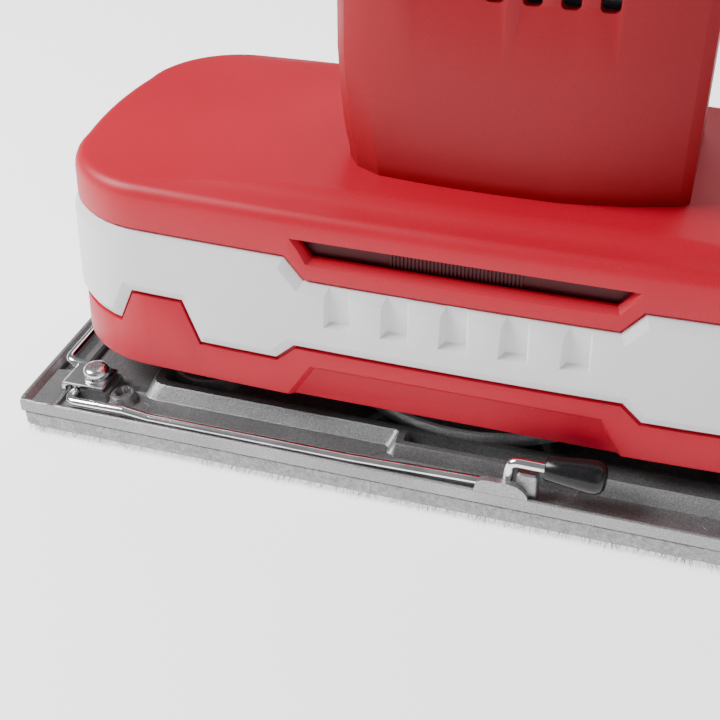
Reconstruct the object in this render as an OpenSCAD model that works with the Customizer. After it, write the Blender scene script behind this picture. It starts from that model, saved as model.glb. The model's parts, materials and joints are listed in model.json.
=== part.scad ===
// Half-sheet orbital sander. Origin: centre of the sanding face. +X points to the handle's rear
// end, -X to the nose, +Z up. The sole plate moves in a small circle; its rest place is centred.

/* [Sole] */
// Length of the sole plate
plate_l = 230; // [205:1:276]
// Width of the sole plate
plate_w = 115; // [105:1:138]
// Thickness of the foam pad
foam_t = 5.2; // [3:0.1:8]
// Thickness of the hook-and-loop face
hook_t = 0.8; // [0.5:0.1:1.5]
// Thickness of the plate's floor
floor_t = 2.2; // [1.8:0.1:3]
// Height of the plate's outer rim above its underside
rim_h = 3.6; // [3:0.1:5]
// Width of the plate's outer rim
rim_w = 1.6; // [1.2:0.1:2.5]
// Height of the inner cast frame above the plate's underside
frame_h = 6; // [4:0.5:8]
// Radius of the circle that the sole travels in
orbit_r = 1; // [0.8:0.1:1.4]

/* [Paper clamps] */
// Diameter of the clamp wire
wire_d = 2.6; // [2:0.1:3.2]
// Distance from the jaw bar to the plate's end
jaw_in = 4.6; // [4:0.1:6]
// Distance from the jaw bar to the hinge line
crank = 8.1; // [7:0.1:10]
// Distance from the wire's lever run to the plate's side
lever_in = 3.2; // [3:0.1:4.5]
// Length of the lever from the hinge line to its upward kink
lever_l = 117.5; // [100:1:130]
// Rise of the kink that carries the rubber tip
kink_h = 7.6; // [6:0.1:10]
// Diameter of the rubber tip
tip_d = 8.4; // [7:0.1:10]
// Length of the rubber tip
tip_l = 14.5; // [12:0.5:20]
// Radial clearance round a turning wire
turn_gap = 0.05; // [0.02:0.01:0.1]
// Thread diameter of the strap screws
screw_d = 4; // [3:0.5:5]
// Distance from the strap screws to the plate's side
strap_in = 12; // [10:0.5:14]

/* [Base housing] */
// Length of the base housing
body_l = 219; // [200:1:262]
// Width of the base housing, without its band
body_w = 96.6; // [88:1:110]
// Height of the housing's lower edge
skirt_z = 20; // [18.5:0.5:24]
// Height of the deck's edge
deck_z = 71; // [68:0.5:85]
// Rise of the deck from its edge to the motor housing
deck_rise = 3; // [1:0.5:5]
// Corner radius of the base housing in plan
body_r = 28; // [20:1:36]
// Wall thickness of the housings
wall = 2.8; // [2:0.1:3.4]
// Draft of the side walls, in degrees
draft = 2; // [0.5:0.5:3]
// How far the band stands proud of the wall
band_out = 1; // [0.5:0.1:1.5]
// Depth of the band's seat in the wall
band_seat = 1.2; // [0.8:0.1:1.6]

/* [Motor housing and handle] */
// Height of the motor housing's top, under its cap
tower_z = 152; // [148:1:170]
// Width of the motor housing at the deck
tower_w = 54; // [52:1:62]
// Height of the domed cap
cap_h = 18; // [14:1:26]
// Width of the handle
handle_w = 34; // [30:1:40]
// Half of the handle bar's height
bar_r = 14.5; // [13.5:0.5:17]
// Wall thickness of the handle shells
shell_t = 2.6; // [2:0.1:3]
// Thickness of the soft grip
grip_t = 1.4; // [1:0.1:2]

/* [Drive] */
// Diameter of the motor shaft
shaft_d = 10; // [9:0.5:12]
// Diameter of the eccentric pin
pin_d = 12; // [11:0.5:14]
// Diameter of the sole's bearing
ecc_bearing_d = 28; // [26:1:32]
// Width of the sole's bearing
ecc_bearing_h = 8; // [7:0.5:9]
// Diameter of the armature core
core_d = 34; // [30:1:36]
// Length of the armature core
core_l = 40; // [34:1:44]
// Diameter of the fan
fan_d = 74; // [60:1:80]
// Air gap between the armature and the field
air_gap = 0.5; // [0.4:0.1:0.8]
// Radial running clearance of the bearings on their shafts
run_gap = 0.03; // [0.01:0.01:0.08]

/* [Ports] */
// Outside diameter of the dust spigot
spigot_d = 32; // [28:1:36]
// Inside diameter of the dust spigot
spigot_bore = 27; // [22:1:30]
// Length of the dust spigot
spigot_l = 24; // [16:1:30]
// Bore of the cable inlet
inlet_bore = 7.2; // [6:0.2:9]

/* [Hidden] */

$fn = 48;
eps = 0.01;
gap = 0.3;

// Heights of the sole
plate_z = hook_t + foam_t;
floor_z = plate_z + floor_t;
frame_t = 2;
half_l = plate_l / 2;
half_w = plate_w / 2;

// Clamp wire
wire_r = wire_d / 2;
hinge_x = half_l - jaw_in - crank;
hinge_z = floor_z + gap + wire_r;
jaw_z = hinge_z + 0.8;
lever_y = half_w - lever_in;
strap_y = half_w - strap_in;
strap_l = 9;
strap_x0 = hinge_x - 8.1;
strap_x1 = hinge_x + wire_r + 2.8;
strap_t = 1.2;
strap_z = hinge_z + wire_r + turn_gap;
screw_x = hinge_x - 4.5;
kink_x = hinge_x - lever_l;
kink_z = hinge_z + 0.8 + kink_h;
tip_start = 9;
bend_r = 2.2;
jaw_y = strap_y - strap_l / 2 - 2.2;

// Frame rib on the plate
frame_x = half_l - 30;
frame_y = half_w - 14;
pocket_y = half_w - 9;
pocket_x0 = -14.5;
pocket_x1 = 30;

// Drive line
axis_x = -orbit_r;
hub_z = floor_z + 2.1;
hub_top = hub_z + ecc_bearing_h + 0.2;
hub_r = ecc_bearing_d / 2 + 5;
pin_r = pin_d / 2;
shaft_r = shaft_d / 2;
retainer_t = 1.2;
ecc_z = hub_top + retainer_t + 2.3;
ecc_h = 12;
fan_r = fan_d / 2;
fan_z = ecc_z + ecc_h + 2;
fan_h = 13;
fan_blades = 36;
low_z = fan_z + fan_h + 4;
low_h = 8;
low_r = shaft_r + 8;
bridge_z = low_z + low_h - 2;
bridge_r = 41;
bridge_n = 4;
bridge_pcd = bridge_r - 6;
bridge_head = 3.6;
core_z = deck_z + 12;
coil_h = 7;
comm_z = core_z + core_l + coil_h + 3;
comm_h = 12;
comm_r = 12;
journal_r = shaft_r - 1;
up_h = 7;
up_r = journal_r + 7;
up_z = comm_z + comm_h + 5;

// Base housing
half_bl = body_l / 2;
half_bw = body_w / 2;
side_bulge = 1.8;
end_bulge = 1.5;
edge_drop = 3;
deck_hole_r = 23;
iso_x = 72;
iso_y = 28;
iso_r = 7;
iso_z = 46;
iso_boss_r = 9;
iso_socket_r = iso_r + orbit_r + 0.6;

// Band outline, measured from the skirt's edge and given for one half
band_top = skirt_z + 39;
band_dip = skirt_z + 33.4;
band_low = skirt_z + 10.6;
band_mid = skirt_z + 15;
band_end = skirt_z + 12.6;
tooth_z = skirt_z + 21.8;
notch_n = 5;
notch_pitch = 14.2;
notch_w = 5.6;
notch_z0 = skirt_z + 23;
notch_z1 = band_dip + 1;

// Vent slots and skirt panels
slot_z0 = skirt_z + 39.2;
slot_z1 = skirt_z + 43.6;
slot_w0 = 35.7;
slot_w1 = 39;
panel_h = 11;
panel_w0 = 44.8;
panel_w1 = 36.5;
panel_t = 1.9;

// Motor housing
tower_x0 = -36;
tower_x1 = 46;
tower_lean = 3.4;
tower_cham = 9;
tower_z0 = deck_z + deck_rise;
bolt_x = 24;
bolt_y = tower_w / 2 - 6.4;
cap_seat = tower_z + cap_h * 0.3;

// Handle
bar_cut = tower_x1;
foot_z = deck_z + deck_rise * 0.2;
bar_p = [[34, tower_z - 14], [74, tower_z + 4], [112, tower_z], [134, tower_z - 20]];
post_p = [[134, tower_z - 20], [150, tower_z - 34], [140, deck_z + 28], [96, deck_z - 4]];
bar_steps = 10;
trigger_x = 66;
trigger_z = tower_z - 19;
trigger_l = 34;
trigger_w = 15;
trigger_pin_r = 1.5;
lock_x = 80;
lock_z = tower_z - 1.5;
lock_r = 4.5;
lock_out = 4;
dial_x = 58;
dial_z = tower_z + 1.2;
dial_r = 11.5;
dial_w = 9;
spigot_z = 46;
neck_r = spigot_d / 2 - 1;
inlet_x = 141;
inlet_z = tower_z - 32;
inlet_r = inlet_bore / 2;
gland_r = inlet_r + 3;
gland_l = 20;
dial_pin_r = 2;
grip_x0 = 72;
grip_z0 = tower_z - 20;
handle_bolt_at = [[52, tower_z - 20], [108, tower_z - 4], [137, tower_z - 48], [112, deck_z + 16]];

// ---------- Outlines ----------

// One quarter of the base housing's plan, from the middle of the side to the middle of the end
function quarter(inset) =
    let (l = half_bl - inset, w = half_bw - inset, r = body_r - inset,
         xs = l - end_bulge - r, ys = w - side_bulge - r)
    concat(
        [for (i = [0:4]) let (x = xs * i / 5) [x, w - side_bulge * pow(x / xs, 2)]],
        [for (i = [0:8]) let (a = 90 - i * 90 / 8) [xs + r * cos(a), ys + r * sin(a)]],
        [for (i = [1:3]) let (y = ys * (1 - i / 3)) [l - end_bulge * pow(y / ys, 2), y]]
    );

function flip(pts, sx, sy) = [for (p = pts) [p[0] * sx, p[1] * sy]];
function back(pts) = [for (i = [len(pts) - 1:-1:0]) pts[i]];

function plan(inset) =
    let (q = quarter(inset))
    concat(q, back(flip(q, 1, -1)), flip(q, -1, -1), back(flip(q, -1, 1)));

function drafted(z) = (z - skirt_z) * tan(draft);

// Band edge from the middle of the side to the end, in length and height
band_upper = [[0, band_dip], [37.4, band_dip], [42.2, band_top], [half_bl + 9, band_top]];
band_lower = [
    [half_bl + 9, band_end], [87.9, band_end], [83.7, tooth_z], [69.7, tooth_z],
    [65.1, band_low], [44.8, band_low], [40, band_mid], [0, band_mid]
];
band_half = concat(band_upper, band_lower);

function bez(p, t) =
    p[0] * pow(1 - t, 3) + 3 * p[1] * t * pow(1 - t, 2) + 3 * p[2] * t * t * (1 - t)
    + p[3] * pow(t, 3);
function bez_dir(p, t) =
    let (d = 3 * (p[1] - p[0]) * pow(1 - t, 2) + 6 * (p[2] - p[1]) * t * (1 - t)
         + 3 * (p[3] - p[2]) * t * t)
    d / norm(d);

handle_line = concat(
    [for (i = [0:bar_steps]) concat(bez(bar_p, i / bar_steps), bez_dir(bar_p, i / bar_steps))],
    [for (i = [1:bar_steps]) concat(bez(post_p, i / bar_steps), bez_dir(post_p, i / bar_steps))]
);
function thin(i) = i <= bar_steps ? 0 : 3.5 * (i - bar_steps) / bar_steps;

// A strip of the handle between two distances from its centre line, the upper side positive
function strip(low, high) = concat(
    [for (i = [0:len(handle_line) - 1]) let (q = handle_line[i], w = high - sign(high) * thin(i))
        [q[0] - q[3] * w, q[1] + q[2] * w]],
    back([for (i = [0:len(handle_line) - 1]) let (q = handle_line[i], w = low - sign(low) * thin(i))
        [q[0] - q[3] * w, q[1] + q[2] * w]])
);

// ---------- Helpers ----------

module at_z(z) {
    translate([0, 0, z]) children();
}

// Upright extrusion of an outline drawn in length and height, centred on the width
module side_prism(pts, width) {
    translate([0, width / 2, 0]) rotate([90, 0, 0]) linear_extrude(width) polygon(pts);
}

module slab(z, inset) {
    translate([axis_x, 0, z]) linear_extrude(eps) polygon(plan(inset));
}

// Drafted housing solid between two heights
module body_solid(z0, z1, inset) {
    hull() {
        slab(z0, inset + drafted(z0));
        slab(z1 - eps, inset + drafted(z1));
    }
}

module ring(r_out, r_in, h) {
    difference() {
        cylinder(r = r_out, h = h);
        translate([0, 0, -1]) cylinder(r = r_in, h = h + 2);
    }
}

module ball_bearing(r_out, r_in, h) {
    groove = 0.4;
    mid = (r_out + r_in) / 2;
    half = (r_out - r_in) * 0.26;
    difference() {
        ring(r_out, r_in, h);
        at_z(-groove) ring(mid + half, mid - half, 2 * groove);
        at_z(h - groove) ring(mid + half, mid - half, 2 * groove);
    }
}

// A screw with its head's underside at z = 0, pointing down
module pan_screw(r, length, head_r, head_h) {
    difference() {
        cylinder(r = head_r, h = head_h);
        for (a = [0, 90]) rotate([0, 0, a]) at_z(head_h * 0.45)
            translate([-head_r * 0.6, -0.45, 0]) cube([head_r * 1.2, 0.9, head_h]);
    }
    at_z(-length) cylinder(r = r, h = length + eps);
}

function unit(v) = v / norm(v);

// Points round one bend of a path, evenly spaced on an arc of the bend's radius
function bend_points(path, i, bend, steps) =
    let (u = unit(path[i] - path[i - 1]), v = unit(path[i + 1] - path[i]),
         turn = acos(u * v), w = unit(v - (u * v) * u),
         c = path[i] - u * bend * tan(turn / 2) + w * bend)
    [for (k = [0:steps]) let (a = turn * k / steps) c - w * bend * cos(a) + u * bend * sin(a)];

function rounded(path, bend, steps) = concat(
    [path[0]],
    [for (i = [1:len(path) - 2]) each bend_points(path, i, bend, steps)],
    [path[len(path) - 1]]
);

function tangents(pts) = [for (i = [0:len(pts) - 1])
    unit(pts[min(i + 1, len(pts) - 1)] - pts[max(i - 1, 0)])];

// Round wire with the bend radius at every corner of its path
module wire(path, r, bend) {
    sides = 14;
    pts = rounded(path, bend, 6);
    t = tangents(pts);
    last = len(pts) - 1;
    start = unit(cross(t[0], [0.1, 0.2, 1]));
    normals = [for (i = 0, n = start; i <= last;
        i = i + 1, n = i > last ? n : unit(n - (n * t[i]) * t[i])) n];
    rings = [for (i = [0:last], k = [0:sides - 1]) let (a = 360 * k / sides)
        pts[i] + r * (cos(a) * normals[i] + sin(a) * cross(t[i], normals[i]))];
    walls = [for (i = [0:last - 1], k = [0:sides - 1]) let (m = (k + 1) % sides)
        [i * sides + k, (i + 1) * sides + k, (i + 1) * sides + m, i * sides + m]];
    polyhedron(rings, concat(walls, [[for (k = [0:sides - 1]) k]],
        [[for (k = [sides - 1:-1:0]) last * sides + k]]), convexity = 10);
}

// Puts a piece at the nose end and, turned half round, at the rear end
module both_ends() {
    children();
    rotate([0, 0, 180]) children();
}

// Puts a piece at one side and, mirrored, at the other
module both_sides() {
    children();
    mirror([0, 1, 0]) children();
}

module four_corners(x, y) {
    for (sx = [-1, 1], sy = [-1, 1]) translate([sx * x, sy * y, 0]) children();
}

// ---------- Sole ----------

frame_pts = [
    [-frame_x, -frame_y], [pocket_x0, -frame_y], [pocket_x0, -pocket_y], [frame_x, -pocket_y],
    [frame_x, frame_y], [-pocket_x0, frame_y], [-pocket_x0, pocket_y], [-frame_x, pocket_y]
];
frame_in_pts = [
    [-frame_x + frame_t, -frame_y + frame_t], [frame_x - frame_t, -frame_y + frame_t],
    [frame_x - frame_t, frame_y - frame_t], [-frame_x + frame_t, frame_y - frame_t]
];

module cast_frame() {
    difference() {
        at_z(floor_z - eps) linear_extrude(frame_h - floor_t + eps) polygon(frame_pts);
        at_z(floor_z) linear_extrude(frame_h) polygon(frame_in_pts);
        both_ends() translate([pocket_x0 + frame_t, -pocket_y + 1.6, floor_z])
            cube([pocket_x1 - pocket_x0 - 2 * frame_t, pocket_y - frame_y - 1.6, frame_h]);
        both_ends() translate([pocket_x1 + frame_t, -pocket_y + 3, floor_z])
            cube([frame_x - pocket_x1 - 2 * frame_t, pocket_y - frame_y - 1 + eps, frame_h]);
    }
}

// Cast block under one strap, with the wire's half-round bed
module strap_block() {
    difference() {
        translate([-strap_x1 + strap_t + 0.2, strap_y - strap_l / 2, floor_z - eps])
            cube([strap_x1 - strap_x0 + 1.2 - strap_t, strap_l, strap_z - floor_z + eps]);
        translate([-hinge_x, strap_y + strap_l, hinge_z]) rotate([90, 0, 0])
            cylinder(r = wire_r + turn_gap, h = 2 * strap_l);
        translate([-hinge_x - wire_r - turn_gap, strap_y - strap_l, hinge_z])
            cube([wire_d + 2 * turn_gap, 2 * strap_l, wire_d]);
    }
}

module end_details() {
    both_sides() strap_block();
    for (s = [-1, 1]) translate([-strap_x0 + 4.3, s * (strap_y + 2), floor_z - eps]) difference() {
        cylinder(r = 3.4, h = strap_z - floor_z - 0.8);
        at_z(1) cylinder(r = 1.5, h = 20);
    }
    // Raised end lip that the paper is folded over
    translate([-half_l, -half_w, floor_z - eps])
        cube([jaw_in - wire_r - 0.7, plate_w, rim_h - floor_t + 0.9]);
    // Post that the lever's kink rests on, and the half-round lug beside it
    translate([kink_x * -1 + wire_r + 0.9, -lever_y - 1.3, floor_z - eps])
        cube([5, 3.8, kink_z - wire_r - gap - 0.9 - floor_z]);
    translate([-kink_x - 7, -half_w, floor_z - eps]) cube([8, rim_w, 13.2 - floor_z]);
    translate([-kink_x + 1, -half_w + rim_w, floor_z]) rotate([90, 0, 0]) difference() {
        cylinder(r = 13.2 - floor_z, h = rim_w);
        translate([-20, -40, -1]) cube([40, 40, 9]);
    }
}

module sole_plate() color("silver") difference() {
    union() {
        translate([-half_l, -half_w, plate_z]) cube([plate_l, plate_w, floor_t]);
        difference() {
            translate([-half_l, -half_w, plate_z]) cube([plate_l, plate_w, rim_h]);
            translate([-half_l + rim_w, -half_w + rim_w, plate_z])
                cube([plate_l - 2 * rim_w, plate_w - 2 * rim_w, 20]);
        }
        cast_frame();
        both_ends() end_details();
        at_z(floor_z - eps) cylinder(r = hub_r, h = hub_top - floor_z);
        for (a = [0:60:300]) rotate([0, 0, a]) translate([hub_r - 1, -1, floor_z - eps])
            cube([frame_y - hub_r - 2, 2, 3]);
        at_z(floor_z - eps) four_corners(iso_x, iso_y)
            cylinder(r = iso_socket_r + 2.2, h = 4);
        both_ends() for (p = [[-half_l + 31, -half_w + 7], [12 - half_l / 4, -half_w + 6],
            [14 - kink_x, -half_w + 5.2]])
            translate([p[0], p[1], floor_z - eps]) cylinder(r = 2.9, h = 0.3);
    }
    // Jaw groove at each end
    both_ends() translate([-half_l + jaw_in - wire_r - 0.6, -jaw_y - wire_r - 1, plate_z + 0.9])
        cube([wire_d + 1.4, 2 * (jaw_y + wire_r + 1), 20]);
    // Ways for the wire's cranks
    both_ends() for (s = [-1, 1])
        translate([-half_l + jaw_in, s * (jaw_y + 0.4) - wire_r - 0.6, plate_z + 0.9])
            cube([crank + wire_r + 0.6, wire_d + 1.2, 20]);
    at_z(plate_z + 1) four_corners(screw_x, strap_y) cylinder(r = screw_d / 2, h = 20);
    at_z(hub_z) cylinder(r = ecc_bearing_d / 2, h = 30);
    at_z(floor_z) cylinder(r = ecc_bearing_d / 2 - 3, h = 30);
    for (a = [30:120:270]) rotate([0, 0, a]) translate([hub_r - 2.3, 0, hub_top - 6])
        cylinder(r = 1, h = 20);
    at_z(floor_z) four_corners(iso_x, iso_y) cylinder(r = iso_socket_r, h = 20);
}

module foam_pad() color("darkgray")
    translate([-half_l, -half_w, hook_t]) cube([plate_l, plate_w, foam_t]);

module hook_face() color("gray")
    translate([-half_l, -half_w, 0]) cube([plate_l, plate_w, hook_t]);

module one_strap() {
    difference() {
        union() {
            translate([-strap_x1, strap_y - strap_l / 2, strap_z])
                cube([strap_x1 - strap_x0, strap_l, strap_t]);
            translate([-strap_x1, strap_y - strap_l / 2, floor_z + 0.8])
                cube([strap_t, strap_l, strap_z - floor_z]);
        }
        translate([-screw_x, strap_y, 0]) cylinder(r = screw_d / 2, h = 40);
    }
}

module clamp_straps() color("gainsboro")
    both_ends() both_sides() one_strap();

module strap_screws() color("white")
    both_ends() for (s = [-1, 1]) translate([-screw_x, s * strap_y, strap_z + strap_t]) {
        ring(screw_d * 0.95, screw_d / 2 - eps, 0.6);
        at_z(0.6) ring(screw_d * 0.82, screw_d / 2 - eps, 0.7);
        at_z(1.3) pan_screw(screw_d / 2, 6, screw_d * 0.91, 2.4);
    }

module sole_bearing() color("lightgray")
    at_z(hub_z) ball_bearing(ecc_bearing_d / 2, pin_r + run_gap, ecc_bearing_h);

module bearing_retainer() color("silver") difference() {
    at_z(hub_top) ring(hub_r, ecc_bearing_d / 2 - 2.2, retainer_t);
    for (a = [30:120:270]) rotate([0, 0, a]) translate([hub_r - 2.3, 0, 0])
        cylinder(r = 1, h = 60);
}

module retainer_screws() color("dimgray")
    for (a = [30:120:270]) rotate([0, 0, a]) translate([hub_r - 2.3, 0, hub_top + retainer_t])
        pan_screw(1, 6, 1.9, 1.3);

// ---------- Paper clamps ----------

tip_dir = unit([tip_l, -0.15, -0.1]);
kink_top = [-kink_x + 0.4, -lever_y, kink_z];
clamp_path = [
    kink_top + (tip_start + tip_l * 0.7) * tip_dir, kink_top,
    [-kink_x, -lever_y, hinge_z + 0.8], [-hinge_x, -lever_y, hinge_z],
    [-hinge_x, -jaw_y, hinge_z], [-hinge_x - crank, -jaw_y, jaw_z],
    [-hinge_x - crank, jaw_y, jaw_z], [-hinge_x, jaw_y, hinge_z],
    [-hinge_x, strap_y + strap_l / 2 + 1, hinge_z]
];

module clamp_wire() {
    wire(clamp_path, wire_r, bend_r);
}

module lever_tip() {
    translate(kink_top + tip_start * tip_dir)
        rotate([0, acos(tip_dir[2]), atan2(tip_dir[1], tip_dir[0])]) rotate_extrude() polygon([
            [wire_r, 0], [tip_d * 0.4, 0], [tip_d * 0.43, tip_l * 0.2],
            [tip_d / 2, tip_l * 0.75], [tip_d * 0.46, tip_l * 0.88], [tip_d * 0.3, tip_l],
            [0, tip_l], [0, tip_l * 0.7], [wire_r, tip_l * 0.7]
        ]);
}

module front_clamp_wire() color("gainsboro") clamp_wire();
module front_lever_tip() color("black") lever_tip();
module rear_clamp_wire() color("gainsboro") rotate([0, 0, 180]) clamp_wire();
module rear_lever_tip() color("black") rotate([0, 0, 180]) lever_tip();

// ---------- Base housing ----------

module band_cutter() {
    translate([axis_x, 0, 0]) {
        side_prism(band_half, 2 * plate_w);
        side_prism(flip(band_half, -1, 1), 2 * plate_w);
    }
}

module side_openings(depth_in) {
    translate([axis_x, 0, 0])
        side_prism([[-slot_w0, slot_z0], [slot_w0, slot_z0], [slot_w1, slot_z1], [-slot_w1, slot_z1]],
            2 * plate_w);
    for (s = [-1, 1]) translate([axis_x, s * (half_bw - depth_in + 20), 0])
        side_prism([[-panel_w0, skirt_z - 1], [panel_w0, skirt_z - 1], [panel_w0, skirt_z],
            [panel_w1, skirt_z + panel_h], [-panel_w1, skirt_z + panel_h], [-panel_w0, skirt_z]], 40);
}

module base_housing() color([0.78, 0.1, 0.13]) difference() {
    union() {
        difference() {
            hull() {
                slab(skirt_z, 0);
                slab(deck_z - edge_drop, drafted(deck_z));
                slab(deck_z - 0.6, drafted(deck_z) + 1.2);
                translate([0, 0, deck_z + deck_rise - eps]) linear_extrude(eps)
                    polygon(tower_pts(7, 0));
            }
            hull() {
                slab(skirt_z - 1, wall);
                slab(deck_z - edge_drop - wall * 0.4, drafted(deck_z) + wall);
                slab(deck_z - wall, drafted(deck_z) + wall + 2);
            }
        }
        at_z(iso_z) translate([axis_x, 0, 0]) four_corners(iso_x, iso_y)
            cylinder(r = iso_boss_r, h = deck_z - wall - iso_z + 1);
        at_z(bridge_z + 3) translate([axis_x, 0, 0]) for (i = [0:bridge_n - 1])
            rotate([0, 0, 45 + 90 * i]) translate([bridge_pcd, 0, 0])
                cylinder(r = 4.5, h = deck_z - wall - bridge_z - 2);
        translate([axis_x + half_bl - 6, 0, spigot_z]) rotate([0, 90, 0])
            cylinder(r = neck_r + 2.5, h = 5.4);
    }
    intersection() {
        band_cutter();
        difference() {
            translate([-plate_l, -plate_w, 0]) cube([2 * plate_l, 2 * plate_w, 200]);
            body_solid(skirt_z - 2, deck_z + 8, band_seat);
        }
    }
    side_openings(panel_t);
    translate([axis_x, 0, 0]) cylinder(r = deck_hole_r, h = 200);
    at_z(iso_z - 1) translate([axis_x, 0, 0]) four_corners(iso_x, iso_y) cylinder(r = 2, h = 13);
    at_z(bridge_z) translate([axis_x, 0, 0]) for (i = [0:bridge_n - 1])
        rotate([0, 0, 45 + 90 * i]) translate([bridge_pcd, 0, 0]) cylinder(r = 2, h = 10);
    housing_bolts(deck_z - 12) cylinder(r = 2, h = 60);
    spigot_hole();
}

module spigot_hole() {
    translate([axis_x + half_bl - 30, 0, spigot_z]) rotate([0, 90, 0])
        cylinder(r = neck_r, h = 60);
}

// The four screw places that hold the motor housing down
module housing_bolts(z) {
    for (sx = [-1, 1], sy = [-1, 1]) translate([axis_x + 6 + sx * bolt_x, sy * bolt_y, z]) children();
}

module side_band() color([0.88, 0.88, 0.88]) difference() {
    intersection() {
        band_cutter();
        difference() {
            body_solid(skirt_z, deck_z, -band_out);
            body_solid(skirt_z - 1, deck_z + 1, band_seat);
        }
    }
    for (s = [-1, 1], i = [0:notch_n - 1])
        translate([axis_x + (i - (notch_n - 1) / 2) * notch_pitch - notch_w / 2,
            s > 0 ? half_bw - 0.9 : -half_bw - 9 + 0.9, notch_z0])
            cube([notch_w, 9, notch_z1 - notch_z0]);
    spigot_hole();
}

module fan_shroud() color("dimgray") translate([axis_x, 0, 0]) difference() {
    union() {
        at_z(fan_z - 1) ring(fan_r + 5, fan_r + 2, bridge_z - fan_z + 1);
        translate([0, -fan_r * 0.42, fan_z - 1])
            cube([half_bl - wall - 7 - gap, fan_r * 0.84, fan_h + 2.4]);
    }
    translate([0, -fan_r * 0.42 + 2, fan_z + 1]) cube([half_bl + 5, fan_r * 0.84 - 4, fan_h - 1.6]);
    at_z(fan_z - 5) cylinder(r = fan_r + 2, h = 40);
    at_z(bridge_z - 2.6) for (i = [0:bridge_n - 1])
        rotate([0, 0, 45 + 90 * i]) translate([bridge_pcd, 0, 0]) cylinder(r = bridge_head + gap, h = 20);
}

module isolator_posts() color([0.1, 0.1, 0.1])
    at_z(floor_z + gap) translate([axis_x, 0, 0]) four_corners(iso_x, iso_y) {
        cylinder(r = iso_r, h = 6);
        at_z(6) cylinder(r = iso_r - 1.5, h = iso_z - floor_z - gap - 12);
        at_z(iso_z - floor_z - gap - 6) cylinder(r = iso_r, h = 6);
    }

module isolator_screws() color("dimgray")
    at_z(iso_z) translate([axis_x, 0, 0]) four_corners(iso_x, iso_y) cylinder(r = 2, h = 12);

// ---------- Motor ----------

module bearing_bridge() color("silver") translate([axis_x, 0, 0]) difference() {
    union() {
        at_z(bridge_z) cylinder(r = bridge_r, h = 3);
        at_z(low_z - 1) cylinder(r = low_r + 4, h = bridge_z + 3 - low_z + 1);
    }
    at_z(low_z - 2) cylinder(r = low_r, h = low_h + 2);
    cylinder(r = low_r - 2.5, h = 200);
    for (i = [0:bridge_n - 1]) rotate([0, 0, 45 + 90 * i]) translate([bridge_pcd, 0, 0])
        cylinder(r = 2, h = 200);
    for (i = [0:3]) rotate([0, 0, 90 * i]) translate([27, 0, 0]) cylinder(r = 6.5, h = 200);
}

module bridge_screws() color("dimgray")
    translate([axis_x, 0, bridge_z]) for (i = [0:bridge_n - 1]) rotate([0, 0, 45 + 90 * i])
        translate([bridge_pcd, 0, 0]) rotate([180, 0, 0]) pan_screw(2, 10, bridge_head, 2.2);

module lower_bearing() color("lightgray")
    translate([axis_x, 0, low_z]) ball_bearing(low_r, shaft_r + run_gap, low_h);

function tower_pts(grow, lean) =
    let (x0 = tower_x0 - grow - lean, x1 = tower_x1 + grow, w = tower_w / 2 + grow + lean,
         c = tower_cham)
    [[x0 + c, -w], [x1 - c, -w], [x1, -w + c], [x1, w - c], [x1 - c, w], [x0 + c, w],
     [x0, w - c], [x0, -w + c]];

module tower_slab(z, grow, lean) {
    at_z(z) linear_extrude(eps) polygon(tower_pts(grow, lean));
}

module motor_housing() color([0.74, 0.09, 0.12]) difference() {
    union() {
        difference() {
            hull() {
                tower_slab(tower_z0, 0, 0);
                tower_slab(tower_z0 + 28, 0, tower_lean);
                tower_slab(tower_z - eps, 0, tower_lean);
            }
            hull() {
                tower_slab(tower_z0 - 1, -wall, 0);
                tower_slab(tower_z0 + 28, -wall, tower_lean);
                tower_slab(tower_z + 1, -wall, tower_lean);
            }
        }
        housing_bolts(tower_z0) cylinder(r = 4.2, h = 5);
        cap_bolts(tower_z - 14) cylinder(r = 4, h = 14);
    }
    housing_bolts(tower_z0 - 1) cylinder(r = 2, h = 20);
    cap_bolts(tower_z - 10) cylinder(r = 1.8, h = 20);
    // Air inlets above the deck at both sides, and the way into the handle
    for (s = [-1, 1], i = [0:5]) translate([tower_x0 + 18 + i * 8, s * tower_w / 2 - 6, tower_z - 34])
        cube([4.2, 12, 20]);
    translate([tower_x1 - 6, -9, tower_z - 24]) cube([12, 18, 14]);
}

module motor_screws() color("dimgray")
    housing_bolts(tower_z0 + 5) pan_screw(2, 12, 3.6, 2.2);

module cap_solid() {
    hull() {
        tower_slab(tower_z, 0, tower_lean);
        tower_slab(tower_z + cap_h * 0.5, -2, tower_lean);
        tower_slab(tower_z + cap_h * 0.82, -8, tower_lean);
        tower_slab(tower_z + cap_h - eps, -18, tower_lean);
    }
}

// The four screw places that hold the cap on the motor housing
module cap_bolts(z) {
    for (x = [tower_x0 + 6, tower_x1 - 8], s = [-1, 1])
        translate([x, s * (tower_w / 2 - 5.5), z]) children();
}

module top_cap() color([0.12, 0.12, 0.13]) difference() {
    union() {
        difference() {
            cap_solid();
            hull() {
                tower_slab(tower_z - 1, -wall, tower_lean);
                tower_slab(tower_z + cap_h * 0.5 - wall, -2 - wall, tower_lean);
                tower_slab(tower_z + cap_h * 0.82 - wall, -8 - wall, tower_lean);
            }
        }
        intersection() {
            cap_solid();
            cap_bolts(tower_z) cylinder(r = 5.2, h = cap_h);
        }
    }
    cap_bolts(tower_z - 1) cylinder(r = 1.8, h = cap_h);
    cap_bolts(cap_seat) cylinder(r = 3.9, h = cap_h);
}

module cap_screws() color("dimgray")
    cap_bolts(cap_seat) pan_screw(1.8, 13, 3.4, 2.2);

module upper_bearing() color("lightgray")
    translate([axis_x, 0, up_z]) ball_bearing(up_r, journal_r + run_gap, up_h);

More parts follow.
